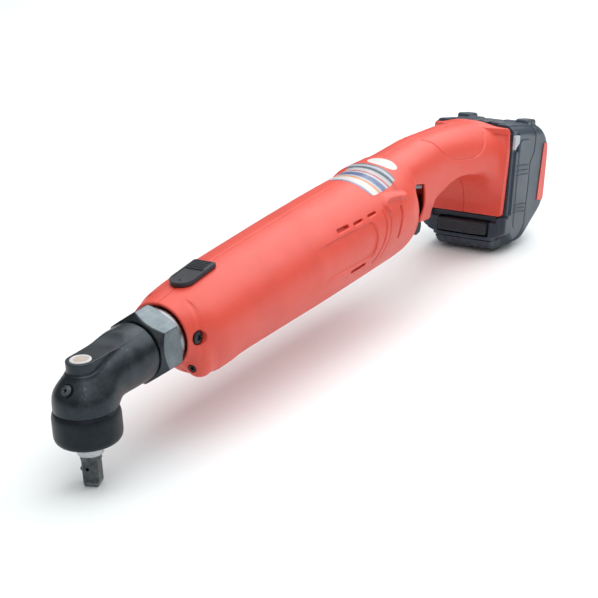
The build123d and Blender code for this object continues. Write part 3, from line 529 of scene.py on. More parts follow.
def nut_steel():
    """burnished hexagon with a darker turned cone at the front"""
    m = Mat("burnished_steel")
    x, y, z = m.axis("X"), m.axis("Y"), m.math("SUBTRACT", m.axis("Z"), LIFT / 1000.0)
    r = m.math("SQRT", m.math("ADD", m.math("MULTIPLY", y, y), m.math("MULTIPLY", z, z)), 0.0)
    blot = m.noise(90.0, 4.0, 0.6)
    lines = m.noise(1.0, 3.0, 0.6, stretch=(70.0, 800.0, 800.0))
    both = m.math("ADD", m.math("MULTIPLY", blot, 0.7), m.math("MULTIPLY", lines, 0.3))
    flats = m.ramp(both, [(0.32, (0.080, 0.100, 0.110)), (0.5, (0.125, 0.153, 0.166)), (0.68, (0.185, 0.215, 0.232))])
    rub = m.math("MULTIPLY", m.edge(0.53, 0.66), m.span(m.noise(120.0, 3.0), 0.3, 0.9, 0.35, 0.65))
    flats = m.mix(rub, flats, (0.30, 0.33, 0.35))
    cone = m.ramp(blot, [(0.3, (0.030, 0.036, 0.041)), (0.7, (0.058, 0.068, 0.076))])
    m.colour(m.mix(m.span(m.math("ADD", r, m.math("MULTIPLY", x, 1.075)), 0.0, 1.0, -0.0342, -0.0337), flats, cone))
    m.rough(m.span(m.math("ADD", m.math("MULTIPLY", blot, 0.5), m.math("MULTIPLY", lines, 0.5)), 0.27, 0.40, 0.35, 0.65))
    m.set(Metallic=0.95)
    m.bump((lines, 0.15, 0.00005), (m.noise(1400.0, 2.0), 0.15, 0.00003))
    return m.m


def label_print():
    """plain coloured bands across a thin printed label"""
    m = Mat("label_bands")
    x = m.axis("X")
    t = m.span(m.math("ADD", x, m.math("MULTIPLY", m.noise(900.0, 2.0), 0.00012)), 0.0, 1.0, -0.3142, -0.2802)
    r = m.t.nodes.new("ShaderNodeValToRGB")
    r.color_ramp.interpolation = "CONSTANT"
    stops = [(0.0, (0.10, 0.11, 0.14)), (0.07, (0.36, 0.40, 0.44)), (0.15, (0.07, 0.10, 0.14)), (0.20, (0.42, 0.41, 0.43)), (0.30, (0.40, 0.06, 0.05)),
             (0.36, (0.40, 0.43, 0.50)), (0.43, (0.05, 0.09, 0.22)), (0.60, (0.34, 0.42, 0.54)), (0.66, (0.58, 0.24, 0.08)), (0.74, (0.58, 0.57, 0.56)),
             (0.93, (0.24, 0.26, 0.40))]
    el = r.color_ramp.elements
    while len(el) < len(stops):
        el.new(0.5)
    for e, (p, c) in zip(el, stops):
        e.position, e.color = p, (*c, 1.0)
    m.link(t, r.inputs["Fac"])
    fade = m.span(m.noise(240.0, 4.0), 0.0, 0.12, 0.35, 0.75)
    m.colour(m.mix(fade, r.outputs["Color"], (0.74, 0.70, 0.68)))
    m.rough(m.span(m.noise(500.0, 3.0), 0.26, 0.4, 0.3, 0.7))
    m.bump((m.noise(120.0, 2.0), 0.05, 0.0001))
    return m.m


M_PLUG = plug_white()
M_SPINDLE = spindle_steel()
M_LABEL = label_print()
M_NUT = nut_steel()
M_FITTING = steel("fitting_steel", (0.045, 0.05, 0.056), (0.08, 0.088, 0.096), (0.14, 0.15, 0.16), (0.26, 0.4), 0.95, (500.0, 500.0, 500.0), (0.26, 0.28, 0.29), 0.15)

NODE_MATS = {
    M_GEAR: ["neck_ring", "ring_gear", "spindle_bearing", "shaft_bearings", "motor_bearings", "bevel_gear", "bevel_pinion", "drive_shaft",
             "output_carrier", "output_carrier_pins", "first_carrier", "first_carrier_pins", "rotor_shaft", "planet_1a", "planet_1b",
             "planet_1c", "planet_2a", "planet_2b", "planet_2c", "detent_spring", "trigger_spring", "button_springs"],
    M_BRIGHT: ["gear_case"], M_ALLOY: ["gear_case_cover"], M_BRONZE: ["spindle_bushing", "brush_holders"],
    M_COPPER: ["commutator", "terminal_blades", "battery_contacts"], M_MOTOR: ["motor_can", "rotor_core"],
    M_MAGNET: ["motor_magnets", "motor_brushes"], M_RUBBER: ["spindle_seal"], M_BOARD: ["control_board", "battery_board"],
    M_CELL: ["battery_cells"], M_FITTING: ["grease_fitting"], M_SCREW: ["front_screws", "housing_screws"], M_HEAD: ["angle_head"], M_CAP: ["head_cap"], M_SLATE: ["selector_slide"],
    M_NUT: ["coupling_nut"], M_SPINDLE: ["output_spindle"], M_DRIVE: ["detent_pin"], M_PLUG: ["top_plug"], M_LEVER: ["direction_lever"], M_GREY: ["battery_rail_caps"],
    M_BLACK: ["motor_end_bell", "cooling_fan", "switch_body", "terminal_block", "trigger"],
    M_PACK: ["battery_front_shell", "battery_rear_shell"], M_PEBBLE: ["battery_button"], M_STRIP: ["battery_strip"],
    M_RED: ["housing_left", "housing_right"],
}
for mat, names in NODE_MATS.items():
    for n in names:
        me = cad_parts[n].data
        me.materials.clear()
        me.materials.append(mat)

# ---------------------------------------------------------------------------
# housing
# ---------------------------------------------------------------------------
# x, half width, half height, height of the centre
BARREL = dense([(-70.9, 20.9, 20.75, 0.55), (-75.0, 22.2, 20.9, 0.95), (-80.0, 24.4, 22.2, 0.3), (-85.0, 26.6, 23.8, -0.4), (-90.0, 28.4, 26.2, -1.95),
                (-94.0, 29.5, 28.6, -3.7), (-98.0, 30.1, 29.85, -4.35), (-104.0, 30.4, 30.4, -4.2), (-136.0, 31.4, 31.4, -2.8), (-180.0, 32.4, 32.4, -2.3),
                (-216.0, 33.2, 33.2, -2.0), (-260.0, 33.7, 33.7, -1.6), (-300.0, 33.8, 33.8, -1.5), (-316.0, 33.4, 33.4, -1.5), (-325.0, 32.2, 32.2, -1.4),
                (-330.5, 30.0, 30.0, -1.2), (-333.5, 26.5, 26.5, -0.8)])
# swellings beside the front opening, on both sides
NOSE_BOSS = [((-83.4, 18.0, -18.7), (-112.0, 15.0, -17.5)), ((-83.4, 17.4, -9.5), (-112.0, 17.0, -8.5))]
SIDE_SCREW = (-78.3, 0.55, 21.2)
NOSE_SCREW = (18.0, -18.7, -77.7)
# x, z, tilt, half width, half height
GRIP = dense([(-312.0, 3.0, 0.0, 25.5, 28.6), (-345.0, 5.4, 1.5, 22.8, 28.0), (-372.0, 5.6, 4.0, 22.0, 28.5), (-400.0, 3.0, 8.0, 22.4, 29.4),
              (-424.0, -0.9, 11.5, 24.4, 31.0), (-440.0, -4.5, 13.0, 26.4, 32.2), (-453.0, -7.7, 13.5, 28.6, 33.6), (-462.1, -9.9, 13.5, 31.0, 34.4)])
ARCH = smooth_path([(-372.8, -50.0), (-371.6, -26.0), (-371.4, -10.5), (-372.1, -7.6), (-374.2, -6.0), (-379.0, -4.6), (-387.0, -2.6), (-396.0, -0.9), (-408.0, -0.7),
                    (-420.0, -2.5), (-432.0, -6.2), (-441.0, -10.6), (-449.0, -17.2), (-455.5, -27.2), (-463.0, -37.0), (-470.0, -50.0)], 3)
ARCH = [(-374.0, -80.0)] + ARCH + [(-472.0, -80.0)]
FOOT_X, FOOT_Z, DROOP = -454.7, -45.1, math.radians(13.5)
CA, SA = math.cos(DROOP), math.sin(DROOP)
SEL_X, SEL_Z, SEL_A = -105.5, 26.6, math.radians(5.7)

PANEL = [(-196.0, 13.9), (-240.0, 13.0), (-264.5, 12.2), (-267.4, 10.2), (-268.6, 7.0), (-268.6, 0.5), (-266.0, -6.0), (-263.6, -9.4), (-261.0, -10.4),
         (-229.0, -9.4), (-196.0, -7.6)]
CURVE_A = smooth_path([(-281.6, 13.8), (-281.0, 6.0), (-277.0, -2.5), (-272.0, -9.4), (-265.0, -16.2)], 4)
CURVE_B = smooth_path([(-287.2, 11.5), (-286.4, 6.0), (-283.4, -1.5), (-279.6, -8.0), (-274.0, -14.5)], 4)
REAR_SLOT = smooth_path([(-303.6, 10.6), (-302.8, 6.6), (-300.8, 2.7), (-298.2, -1.8), (-295.3, -7.6)], 4)
HOOK = smooth_path([(-288.6, 12.5), (-287.4, 16.8), (-290.2, 19.3), (-296.4, 19.2), (-304.0, 18.0), (-312.5, 16.0)], 4)
VENTS = [((-228.7, 16.9), (-240.1, 16.6), 1.15), ((-247.2, 15.9), (-256.5, 15.8), 0.8), ((-264.8, 15.8), (-273.6, 15.7), 0.8),
         ((-236.4, -12.9), (-252.9, -13.0), 1.0)]
RIM_FOLD = smooth_path([(-83.2, 18.4), (-81.8, 14.6), (-80.4, 9.6), (-79.4, 5.6)], 4)
LOW_FOLD = smooth_path([(-78.4, -4.6), (-78.0, -8.5), (-77.4, -12.8)], 4)
U_LINE = smooth_path([(-379.1, 33.4), (-383.4, 31.1), (-385.4, 27.7), (-388.4, 22.5), (-396.7, 16.5), (-409.2, 11.9), (-425.7, 9.1), (-436.3, 9.8), (-442.8, 12.4), (-446.8, 15.5), (-450.6, 20.0)], 4)
REAR_SCREWS = [(-322.0, 20.0), (-322.0, -20.0), (-404.0, 19.0), (-434.0, 6.0)]
SLOT = [(-336.0, 9.6), (-338.5, 12.6), (-342.5, 13.2), (-353.8, 10.2), (-354.2, 7.0), (-358.0, -60.0), (-336.0, -60.0)]


def to_foot(x, z):
    return (x - FOOT_X) * CA + (z - FOOT_Z) * SA, -(x - FOOT_X) * SA + (z - FOOT_Z) * CA


def rod_d(x, y, z, a, b, r):
    e = np.subtract(b, a)
    t = np.clip(((x - a[0]) * e[0] + (y - a[1]) * e[1] + (z - a[2]) * e[2]) / (e @ e), 0.0, 1.0)
    return np.sqrt((x - a[0] - t * e[0]) ** 2 + (y - a[1] - t * e[1]) ** 2 + (z - a[2] - t * e[2]) ** 2) - r


def barrel_d(x, y, z):
    w, h, v = at(x, BARREL, 1), at(x, BARREL, 2), z - at(x, BARREL, 3)
    f = np.sqrt((y / w) ** 2 + (v / h) ** 2)
    d = (f - 1.0) * f / (np.sqrt((y / (w * w)) ** 2 + (v / (h * h)) ** 2) + 1e-6)
    lean = (at(x + 0.4, BARREL, 1) - at(x - 0.4, BARREL, 1)) / 0.8
    d = d / np.sqrt(1 + lean * lean)
    if np.max(x) > -118:
        for a, b in NOSE_BOSS:
            d = sm(d, rod_d(x, np.abs(y), z, a, b, 8.0), 6.5)
    d = sx(d, x + 70.9, 0.9)
    return sx(d, -333.6 - x, 2.0)


def oval_d(u, v, hw, hh):
    a, b = np.abs(u) / hw, np.abs(v) / hh
    sa, sb = a * np.sqrt(a), b * np.sqrt(b)
    s = a * sa + b * sb + 1e-6
    f = s ** 0.4
    k = f / s
    g = np.sqrt((sa * k / hw) ** 2 + (sb * k / hh) ** 2) + 1e-6
    return (f - 1.0) / g


def grip_d(x, y, z):
    x0 = x + 0 * z
    for _ in range(3):
        x0 = x + (z - at(x0, GRIP, 1)) * np.tan(np.radians(at(x0, GRIP, 2)))
    q = np.radians(at(x0, GRIP, 2))
    xc = np.clip(x0, -462.1, -312.0)
    v = -(x - xc) * np.sin(q) + (z - at(x0, GRIP, 1)) * np.cos(q)
    d = oval_d(y, v, at(x0, GRIP, 3), at(x0, GRIP, 4))
    # fuller cheeks beside the trigger
    d = sm(d, sx(rbox(x, y, z, (-380.0, -17.0, -22.3), (-346.0, 17.0, 8.0), 3.6), -19.3 + 0.24 * (x + 356.0) - z, 2.0), 3.0)
    d = sx(d, -poly2(x + 0 * z, z + 0 * x, ARCH), 1.6 + 7.4 * step((-424.0 - x) / 18.0))
    return np.maximum(d, x + 312.0)


def housing_base(x, y, z):
    """barrel, grip and foot as one outer skin"""
    d = sm(barrel_d(x, y, z), grip_d(x, y, z), 9.0)
    fx, fz = to_foot(x, z)
    plate = sx(rect2(y, fz, (-33.0, -0.2), (33.0, 66.0), 5.0), np.abs(fx + 0.4) - 2.6, 0.9)
    d = sm(d, plate, 8.0)
    # the plate keeps a clear edge all round, its far upper corner is cut
    give = np.maximum(0.0, fx - 2.4) * 1.2
    d = sx(d, rect2(y, fz, (-33.0, -0.2), (33.0, 67.0), 5.0) - give, 0.9)
    d = sx(d, np.abs(y) - (31.2 + 1.5 * np.clip(fz / 67.0, 0.0, 1.0)) - give, 0.9)
    d = np.where((y < 0) & (fx < 20.0), sx(d, (-y - 33.0) * 0.72 + (fz - 54.0) * 0.69 - give, 0.9), d)
    # thin lips that slant across the upper corners of the foot
    a = np.abs(y)
    slant = (fx - 11.0) * 0.829 + (a - 18.5) * 0.560
    lip = sx(sx(sx(slant, np.abs(fz - 64.4) - 2.1, 0.9), a - np.where(y > 0, 36.6, 29.0), 0.9), 10.0 - a, 0.5)
    lip = np.maximum(lip, fx - 14.0)
    d = sm(d, lip, 1.4)
    return np.maximum(d, -3.0 - fx)


def housing(side):
    def fn(x, y, z):
        d = np.array(housing_base(x, y, z), np.float32)
        skin = d.copy()
        # fine features, on the points next to the skin
        i, X, Y, Z = near(d, x, y, z, 3.2)
        if len(i):
            Y = Y * side
            e = d.ravel()[i]
            on = Y > 9.0
            k = on & (X < -190) & (X > -275) & (Z < 17) & (Z > -14)
            if k.any():
                s = poly2(X[k], Z[k], PANEL)
                e[k] += 1.05 * step((-198.0 - X[k]) / 16.0) * step(0.5 - s / 0.9)
            for line, half, depth in ((CURVE_A, 1.3, 0.65), (CURVE_B, 1.6, 0.4), (REAR_SLOT, 1.25, 2.3)):
                k = on & (X < -260) & (X > -310)
                if k.any():
                    s = path2(X[k], Z[k], line)
                    e[k] += depth * step(1.15 - s / half)
            k = on & (X < -280) & (X > -318) & (Z > 8)
            if k.any():
                s = path2(X[k], Z[k], HOOK)
                e[k] -= 2.1 * step(1.05 - s / 3.0)
            for a, b, half in VENTS:
                k = on & (X < a[0] + 4) & (X > b[0] - 4)
                if k.any():
                    s = path2(X[k], Z[k], [a, b]) - half
                    e[k] = sx(e[k], np.minimum(-s, e[k] + 2.6), 0.5)
            k = on & (X > -84)
            if k.any():
                s = path2(X[k], Z[k], RIM_FOLD)
                e[k] += 0.6 * step(1.0 - s / 2.6)
                s = path2(X[k], Z[k], LOW_FOLD)
                e[k] += 0.35 * step(1.0 - s / 2.4)
            k = (Y > 6.0) & (X < -350) & (X > -456) & (Z > 4)
            if k.any():
                s = path2(X[k], Z[k], U_LINE)
                e[k] += 0.6 * step(1.0 - s / 1.0)
            d.ravel()[i] = e
        # front opening and the bore for the gear case nose
        rad = np.sqrt(y * y + z * z)
        bore = sm(np.maximum(rad - 19.4, -74.6 - x), np.maximum(rad - 17.2, -94.0 - x), 0.3)
        d = sx(d, -bore, 0.7)
        # trigger slot, and the room for the trigger and the direction lever
        if np.min(x) < -330 and np.max(x) > -380:
            d = sx(d, -poly2(x + 0 * z, z + 0 * x, SLOT), 0.9)
            d = sx(d, -np.maximum(skin + 1.7, rbox(x, y, z, (-366.0, -22.0, -60.0), (-337.5, 22.0, 11.4), 1.0)), 0.5)
            d = sx(d, -rbox(x, y, z, (-376.5, -8.8, -60.0), (-340.0, 8.8, -11.4), 0.4), 0.5)
            d = np.maximum(d, -rbox(x, y, z, (-356.6, -3.6, 0.0), (-349.4, 3.6, 14.0), 0.3))
        # selector bay
        if np.max(x) > -140:
            u = (x - SEL_X) * math.cos(SEL_A) - (z - SEL_Z) * math.sin(SEL_A)
            w = (x - SEL_X) * math.sin(SEL_A) + (z - SEL_Z) * math.cos(SEL_A)
            mid = np.clip(u, -16.5 + 8.45, 15.2)
            plan = np.where(u < -8.0, rect2(u, y, (-16.6, -8.5), (0.0, 8.5), 1.0), np.sqrt((u - mid) ** 2 + y * y) - 8.5)
            d = sx(d, -np.maximum(plan, -1.3 - w), 0.6)
            d = np.maximum(d, -rbox(u, y, w, (-6.2, -2.7, -8.0), (13.2, 2.7, 0.5), 0.3))
            # small notch beside the bay
            d = sx(d, -rbox(u, y * side, w, (1.2, 6.0, -1.2), (4.2, 10.4, 4.0), 0.4), 0.4)
        if np.max(x) > -90:
            a, b, seat = SIDE_SCREW
            d = sx(d, -np.maximum(np.sqrt((x - a) ** 2 + (z - b) ** 2) - 4.45, seat - y * side), 0.6)
            a, b, seat = NOSE_SCREW
            d = sx(d, -np.maximum(np.sqrt((y * side - a) ** 2 + (z - b) ** 2) - 2.75, seat - x), 0.4)
        if side < 0:
            for sx_, sz_ in REAR_SCREWS:
                if np.min(x) < sx_ + 8 and np.max(x) > sx_ - 8:
                    d = sx(d, -np.maximum(np.sqrt((x - sx_) ** 2 + (z - sz_) ** 2) - 3.3, 14.0 - y * side), 0.6)
        # parting line
        return sx(d, 0.04 - y * side, 0.75)
    return fn


hx = spaced(-469.0, -68.5, 0.95, [(-470, -350, 0.62), (-350, -194, 0.62), (-132, -60, 0.62)])
hy = spaced(-1.0, 37.0, 0.62)
hz = spaced(-52.0, 42.0, 0.66)
left = shape("housing_left_shell", housing(1), hx, hy, hz, "tool", ["housing_left"], M_RED)
right = shape("housing_right_shell", housing(-1), hx, -hy[::-1], hz, "tool", ["housing_right"], M_RED)

# ---------------------------------------------------------------------------
# turned pieces
# ---------------------------------------------------------------------------
def rounded(pts, r, n=4):
    """closed profile with its corners rounded"""
    out, m = [], len(pts)
    for i, p in enumerate(pts):
        a, b = pts[i - 1], pts[(i + 1) % m]
        va, vb = (a[0] - p[0], a[1] - p[1]), (b[0] - p[0], b[1] - p[1])
        la, lb = math.hypot(*va), math.hypot(*vb)
        t = min(r, 0.42 * la, 0.42 * lb)
        pa = (p[0] + va[0] / la * t, p[1] + va[1] / la * t)
        pb = (p[0] + vb[0] / lb * t, p[1] + vb[1] / lb * t)
        for k in range(n + 1):
            s = k / n
            out.append(tuple((1 - s) ** 2 * pa[c] + 2 * s * (1 - s) * p[c] + s * s * pb[c] for c in (0, 1)))
    return out


def add_faces(name, V, F, body, nodes, mat, angle=32.0):
    me = bpy.data.meshes.new(name)
    me.from_pydata([tuple(v) for v in V], [], F)
    bm = bmesh.new()
    bm.from_mesh(me)
    bmesh.ops.recalc_face_normals(bm, faces=bm.faces[:])
    bm.to_mesh(me)
    bm.free()
    me.polygons.foreach_set("use_smooth", np.ones(len(me.polygons), bool))
    me.set_sharp_from_angle(angle=math.radians(angle))
    ob = bpy.data.objects.new(name, me)
    bpy.context.scene.collection.objects.link(ob)
    me.materials.append(mat)
    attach(ob, body)
    if nodes:
        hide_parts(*nodes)
    return ob


def lathe(name, ring, origin, axis, body, nodes, mat, seg=96, angle=32.0):
    """turned piece from a closed profile of (radius, height along the axis), all radii above zero"""
    a = Vector(axis).normalized()
    e0 = a.orthogonal().normalized()
    e1 = a.cross(e0)
    base = Vector(origin) + Vector((0, 0, LIFT))
    V, F, m = [], [], len(ring)
    for r, h in ring:
        for k in range(seg):
            t = 2 * math.pi * k / seg
            V.append((base + a * h + (e0 * math.cos(t) + e1 * math.sin(t)) * r) / 1000.0)
    for i in range(m):
        j = (i + 1) % m
        for k in range(seg):
            l = (k + 1) % seg
            F.append((i * seg + k, i * seg + l, j * seg + l, j * seg + k))
    return add_faces(name, V, F, body, nodes, mat, angle)


def disc(name, prof, origin, axis, body, nodes, mat, seg=96, angle=32.0):
    """turned piece closed on its axis: prof runs from the lower pole to the upper pole, poles left out"""
    a = Vector(axis).normalized()
    e0 = a.orthogonal().normalized()
    e1 = a.cross(e0)
    base = Vector(origin) + Vector((0, 0, LIFT))
    V, F, m = [], [], len(prof)
    for r, h in prof:
        for k in range(seg):
            t = 2 * math.pi * k / seg
            V.append((base + a * h + (e0 * math.cos(t) + e1 * math.sin(t)) * r) / 1000.0)
    lo, hi = len(V), len(V) + 1
    V += [(base + a * prof[0][1]) / 1000.0, (base + a * prof[-1][1]) / 1000.0]
    for k in range(seg):
        l = (k + 1) % seg
        for i in range(m - 1):
            F.append((i * seg + k, i * seg + l, (i + 1) * seg + l, (i + 1) * seg + k))
        F.append((lo, l, k))
        F.append((hi, (m - 1) * seg + k, (m - 1) * seg + l))
    return add_faces(name, V, F, body, nodes, mat, angle)


def front_heads():
    """socket heads of the front screws, two on each side"""
    V, F, n = [], [], 48
    for s in (1, -1):
        for o, a, u, r in (((SIDE_SCREW[0], s * 23.1, SIDE_SCREW[1]), (0, s, 0), (1, 0, 0), 3.95), ((-75.9, s * NOSE_SCREW[0], NOSE_SCREW[1]), (1, 0, 0), (0, 1, 0), 2.5)):
            o, a, u = np.array(o, float), np.array(a, float), np.array(u, float)
            w = np.cross(a, u)
            k = 0.5 * r
            prof = [(r - 0.1, -1.8), (r, -1.7), (r, -0.7), (r - 0.12, -0.35), (r - 0.45, -0.1), (r - 1.0, 0.0), (k + 0.12, 0.0), (k, -0.12), (k - 0.06, -1.1)]
            b = len(V)
            for q, h in prof:
                for i in range(n):
                    t = 2 * math.pi * i / n
                    V.append(o + a * h + (u * math.cos(t) + w * math.sin(t)) * q)
            V += [o + a * -1.8, o + a * -1.15]
            for j in range(len(prof) - 1):
                for i in range(n):
                    p, q = b + j * n + i, b + j * n + (i + 1) % n
                    F.append((p, q, q + n, p + n))
            e, m = b + len(prof) * n, b + (len(prof) - 1) * n
            for i in range(n):
                F.append((e, b + (i + 1) % n, b + i))
                F.append((e + 1, m + i, m + (i + 1) % n))
    return add_faces("front_screw_heads", (np.array(V) + np.array([0, 0, LIFT])) / 1000.0, F, "tool", ["front_screws"], M_HEADS, 32.0)


front_heads()

# ---------------------------------------------------------------------------
# angle head
# ---------------------------------------------------------------------------
DOME = smooth_path([(9.4, 6.6), (12.6, 2.6), (15.6, -1.4), (17.4, -4.6), (18.3, -8.5), (18.5, -14.45)], 6)
DOME = [(0.0, 9.0)] + DOME + [(0.0, -14.45)]
DOME = DOME[1:-1] + [(-r, z) for r, z in DOME[::-1]][1:-1]
NECK = dense([(-47.0, 17.9, 0.0), (-36.0, 17.9, 0.0), (-26.0, 17.2, -0.6), (-14.0, 16.0, -1.7), (-3.0, 14.6, -2.8), (4.0, 13.6, -3.4)], 600)
FIT_AT, FIT_TILT = (13.85, 0.0, 0.6), math.radians(53.9)
FIT_AXIS = (math.sin(FIT_TILT), 0.0, math.cos(FIT_TILT))


def head_d(x, y, z):
    r = np.sqrt(x * x + y * y)
    dome = poly2(r + 0 * z, z + 0 * r, DOME)
    rn, zc = at(x, NECK, 1), at(x, NECK, 2)
    neck = sx(np.sqrt(y * y + (z - zc) ** 2) - rn, x + 3.0, 9.0)
    d = sm(dome, neck, 7.5)
    plan = np.sqrt((x - np.clip(x, -40.0, 0.0)) ** 2 + y * y) - 8.6
    pad = sx(np.maximum(plan, -4.0 - z), z - 14.2, 0.7)
    d = sm(d, pad, 2.4)
    top = 14.2 + np.maximum(0.0, -20.0 - x) ** 2 / 50.0
    d = sx(d, z - top, 0.7)
    d = sx(d, -47.0 - x, 1.0)
    # seat of the grease fitting
    ax = (x - FIT_AT[0]) * FIT_AXIS[0] + (z - FIT_AT[2]) * FIT_AXIS[2]
    px, pz = (x - FIT_AT[0]) - ax * FIT_AXIS[0], (z - FIT_AT[2]) - ax * FIT_AXIS[2]
    seat = np.maximum(np.sqrt(px * px + y * y + pz * pz) - 3.9, -0.7 - ax)
    d = sx(d, -seat, 0.35)
    # seat of the plug
    d = sx(d, -np.maximum(r - 6.45, 13.2 - z), 0.3)
    # bore for the spindle and the bevel gear, kept inside
    return np.maximum(d, -14.45 - z)


hs = 0.42
shape("angle_head_casting", head_d, spaced(-48.5, 19.5, hs), spaced(-19.5, 19.5, hs), spaced(-20.0, 19.5, hs), "tool", ["angle_head"], M_HEAD)

CAP = [(15.0, -14.52), (17.9, -14.52), (18.7, -15.6), (19.4, -17.4), (19.7, -19.4), (19.7, -30.0), (19.3, -32.0), (18.3, -33.6),
       (16.7, -34.6), (14.3, -35.2), (8.4, -35.2), (8.4, -33.4), (10.0, -33.4), (10.0, -30.2), (14.05, -30.2), (14.05, -21.85), (15.0, -21.85)]
lathe("head_cap_turned", rounded(CAP, 0.7), (0, 0, 0), (0, 0, 1), "tool", ["head_cap"], M_CAP, 128, 40.0)
disc("top_plug_disc", [(5.6, 12.4), (6.3, 12.4), (6.3, 13.75), (6.2, 14.1), (5.95, 14.3), (5.2, 14.36), (4.7, 14.3), (4.45, 14.12), (3.9, 14.08), (1.2, 14.12)],
     (0, 0, 0), (0, 0, 1), "tool", ["top_plug"], M_PLUG, 72, 40.0)
lathe("grease_fitting_turned", rounded([(0.55, -3.0), (1.95, -3.0), (1.95, 0.2), (3.2, 0.2), (3.2, 0.85), (2.9, 1.0), (2.45, 1.0), (2.3, 1.6), (1.9, 2.0), (1.2, 2.1), (0.75, 1.6), (0.55, 0.9)], 0.25),
      FIT_AT, FIT_AXIS, "tool", ["grease_fitting"], M_FITTING, 48, 40.0)

# ---------------------------------------------------------------------------
# coupling nut
# ---------------------------------------------------------------------------
def nut_d(x, y, z):
    d = None
    for k in range(3):
        t = math.radians(30 + 60 * k)
        f = np.abs(y * math.cos(t) + z * math.sin(t)) - 19.5
        d = f if d is None else sx(d, f, 0.7)
    r = np.sqrt(y * y + z * z)
    k = 1 / math.sqrt(1 + 1.075 ** 2)
    d = sx(d, (r - 18.3 + (x + 48.0) * 1.075) * k, 0.45)
    d = sx(d, (r - 20.6 - (x + 66.0) * 1.25) / math.sqrt(1 + 1.25 ** 2), 0.45)
    d = sx(sx(d, x + 48.0, 0.5), -66.0 - x, 0.5)
    bore = np.minimum(np.maximum(r - 15.6, -54.0 - x), np.maximum(r - 17.2, x + 50.8))
    return sx(d, -bore, 0.4)


def turn_x(deg):
    c, s = math.cos(math.radians(deg)), math.sin(math.radians(deg))
    return np.array([[1, 0, 0], [0, c, -s], [0, s, c]]), np.zeros(3)


def turn_z(deg):
    c, s = math.cos(math.radians(deg)), math.sin(math.radians(deg))
    return np.array([[c, -s, 0], [s, c, 0], [0, 0, 1]]), np.zeros(3)


ns = 0.42
shape("coupling_nut_hex", nut_d, spaced(-66.8, -47.2, ns), spaced(-23.6, 23.6, ns), spaced(-23.6, 23.6, ns), "tool", ["coupling_nut"], M_NUT, place=turn_x(34))

# ---------------------------------------------------------------------------
# output spindle
# ---------------------------------------------------------------------------
SHAFT = [(4.5, 11.0), (4.5, 2.6), (6.0, 2.6), (6.0, -19.0), (9.0, -19.0), (9.0, -22.0), (7.5, -22.0), (7.5, -35.7), (7.65, -35.7), (7.65, -43.0), (6.3, -43.0), (6.3, -46.0)]
SHAFT = SHAFT + [(-r, z) for r, z in SHAFT[::-1]]


def spindle_d(x, y, z):
    r = np.sqrt(x * x + y * y)
    d = poly2(r + 0 * z, z + 0 * r, SHAFT)
    d = sx(d, np.where(z > -43.2, (r - 7.65 + (-42.4 - z)) * 0.7071, r - 6.3), 0.25)
    sq = rect2(x, y, (-4.7625, -4.7625), (4.7625, 4.7625), 0.9)
    sq = np.maximum(sq, (r - 6.1) * 1.0)
    sq = sx(sq, (np.maximum(np.abs(x), np.abs(y)) - 3.8 + (-62.5 - z)) * 0.7071, 1.1)
    # waist below the collar
    sq = sx(sq, -62.5 - z, 0.5)
    sq = np.maximum(sq, z + 44.0)
    d = sm(d, sq, 0.5)
    d = sx(d, -np.maximum(np.sqrt(x * x + (z + 53.0) ** 2) - 1.78, y - 2.6), 0.25)
    return sx(d, -np.maximum(np.sqrt((y + 1.2) ** 2 + (z + 51.4) ** 2) - 0.95, 0.5 - x), 0.25)


ss = 0.27
shape("output_spindle_square", spindle_d, spaced(-9.6, 9.6, ss), spaced(-9.6, 9.6, ss), spaced(-63.2, 11.7, ss), "spindle", ["output_spindle"], M_SPINDLE, place=turn_z(20))

# ---------------------------------------------------------------------------
# selector, trigger and direction lever
# ---------------------------------------------------------------------------
SEL_PLACE = (np.array([[math.cos(SEL_A), 0, math.sin(SEL_A)], [0, 1, 0], [-math.sin(SEL_A), 0, math.cos(SEL_A)]]), np.array([SEL_X, 0.0, SEL_Z]))


def selector_d(u, y, w):
    mid = np.clip(u, -8.0, 8.0)
    plan = np.where(u < 0, rect2(u, y, (-16.0, -8.0), (8.0, 8.0), 1.4), np.sqrt((u - mid) ** 2 + y * y) - 8.0)
    body = sx(sx(plan, w - 2.0, 0.6), -0.9 - w, 0.3)
    # dished middle with a rim, open at the front
    dish = sx(plan + 1.5, -(w - 1.25), 0.5)
    body = sx(body, -np.maximum(dish, -4.4 - u), 0.5)
    # ribbed thumb block at the rear
    block = rbox(u, y, w, (-15.2, -6.6, 0.0), (-5.2, 6.6, 2.3), 0.5)
    d = sm(body, block, 0.4)
    for k in range(5):
        c = -13.9 + 1.9 * k
        d = sm(d, rbox(u, y, w, (c - 0.55, -6.2, 1.5), (c + 0.55, 6.2, 2.85), 0.4), 0.3)
    # arrow-free index mark on the dish
    d = sm(d, rbox(u, y, w, (3.4, -1.0, 0.8), (10.8, 1.0, 1.75), 0.4), 0.3)
    return np.minimum(d, rbox(u, y, w, (-5.6, -2.2, -4.4), (5.6, 2.2, 0.0), 0.3))


es = 0.24
shape("selector_pad", selector_d, spaced(-16.7, 16.7, es), spaced(-8.7, 8.7, es), spaced(-5.0, 3.4, es), "selector", ["selector_slide"], M_SLATE, place=SEL_PLACE)

TRIGGER = [(-341.5, 0.6), (-341.5, -18.0), (-344.0, -25.0), (-350.0, -28.8), (-360.0, -31.6), (-366.6, -33.9), (-371.2, -33.0), (-373.4, -29.2), (-373.8, -22.0),
           (-373.0, -17.6), (-367.9, -17.6), (-367.5, 0.6)]


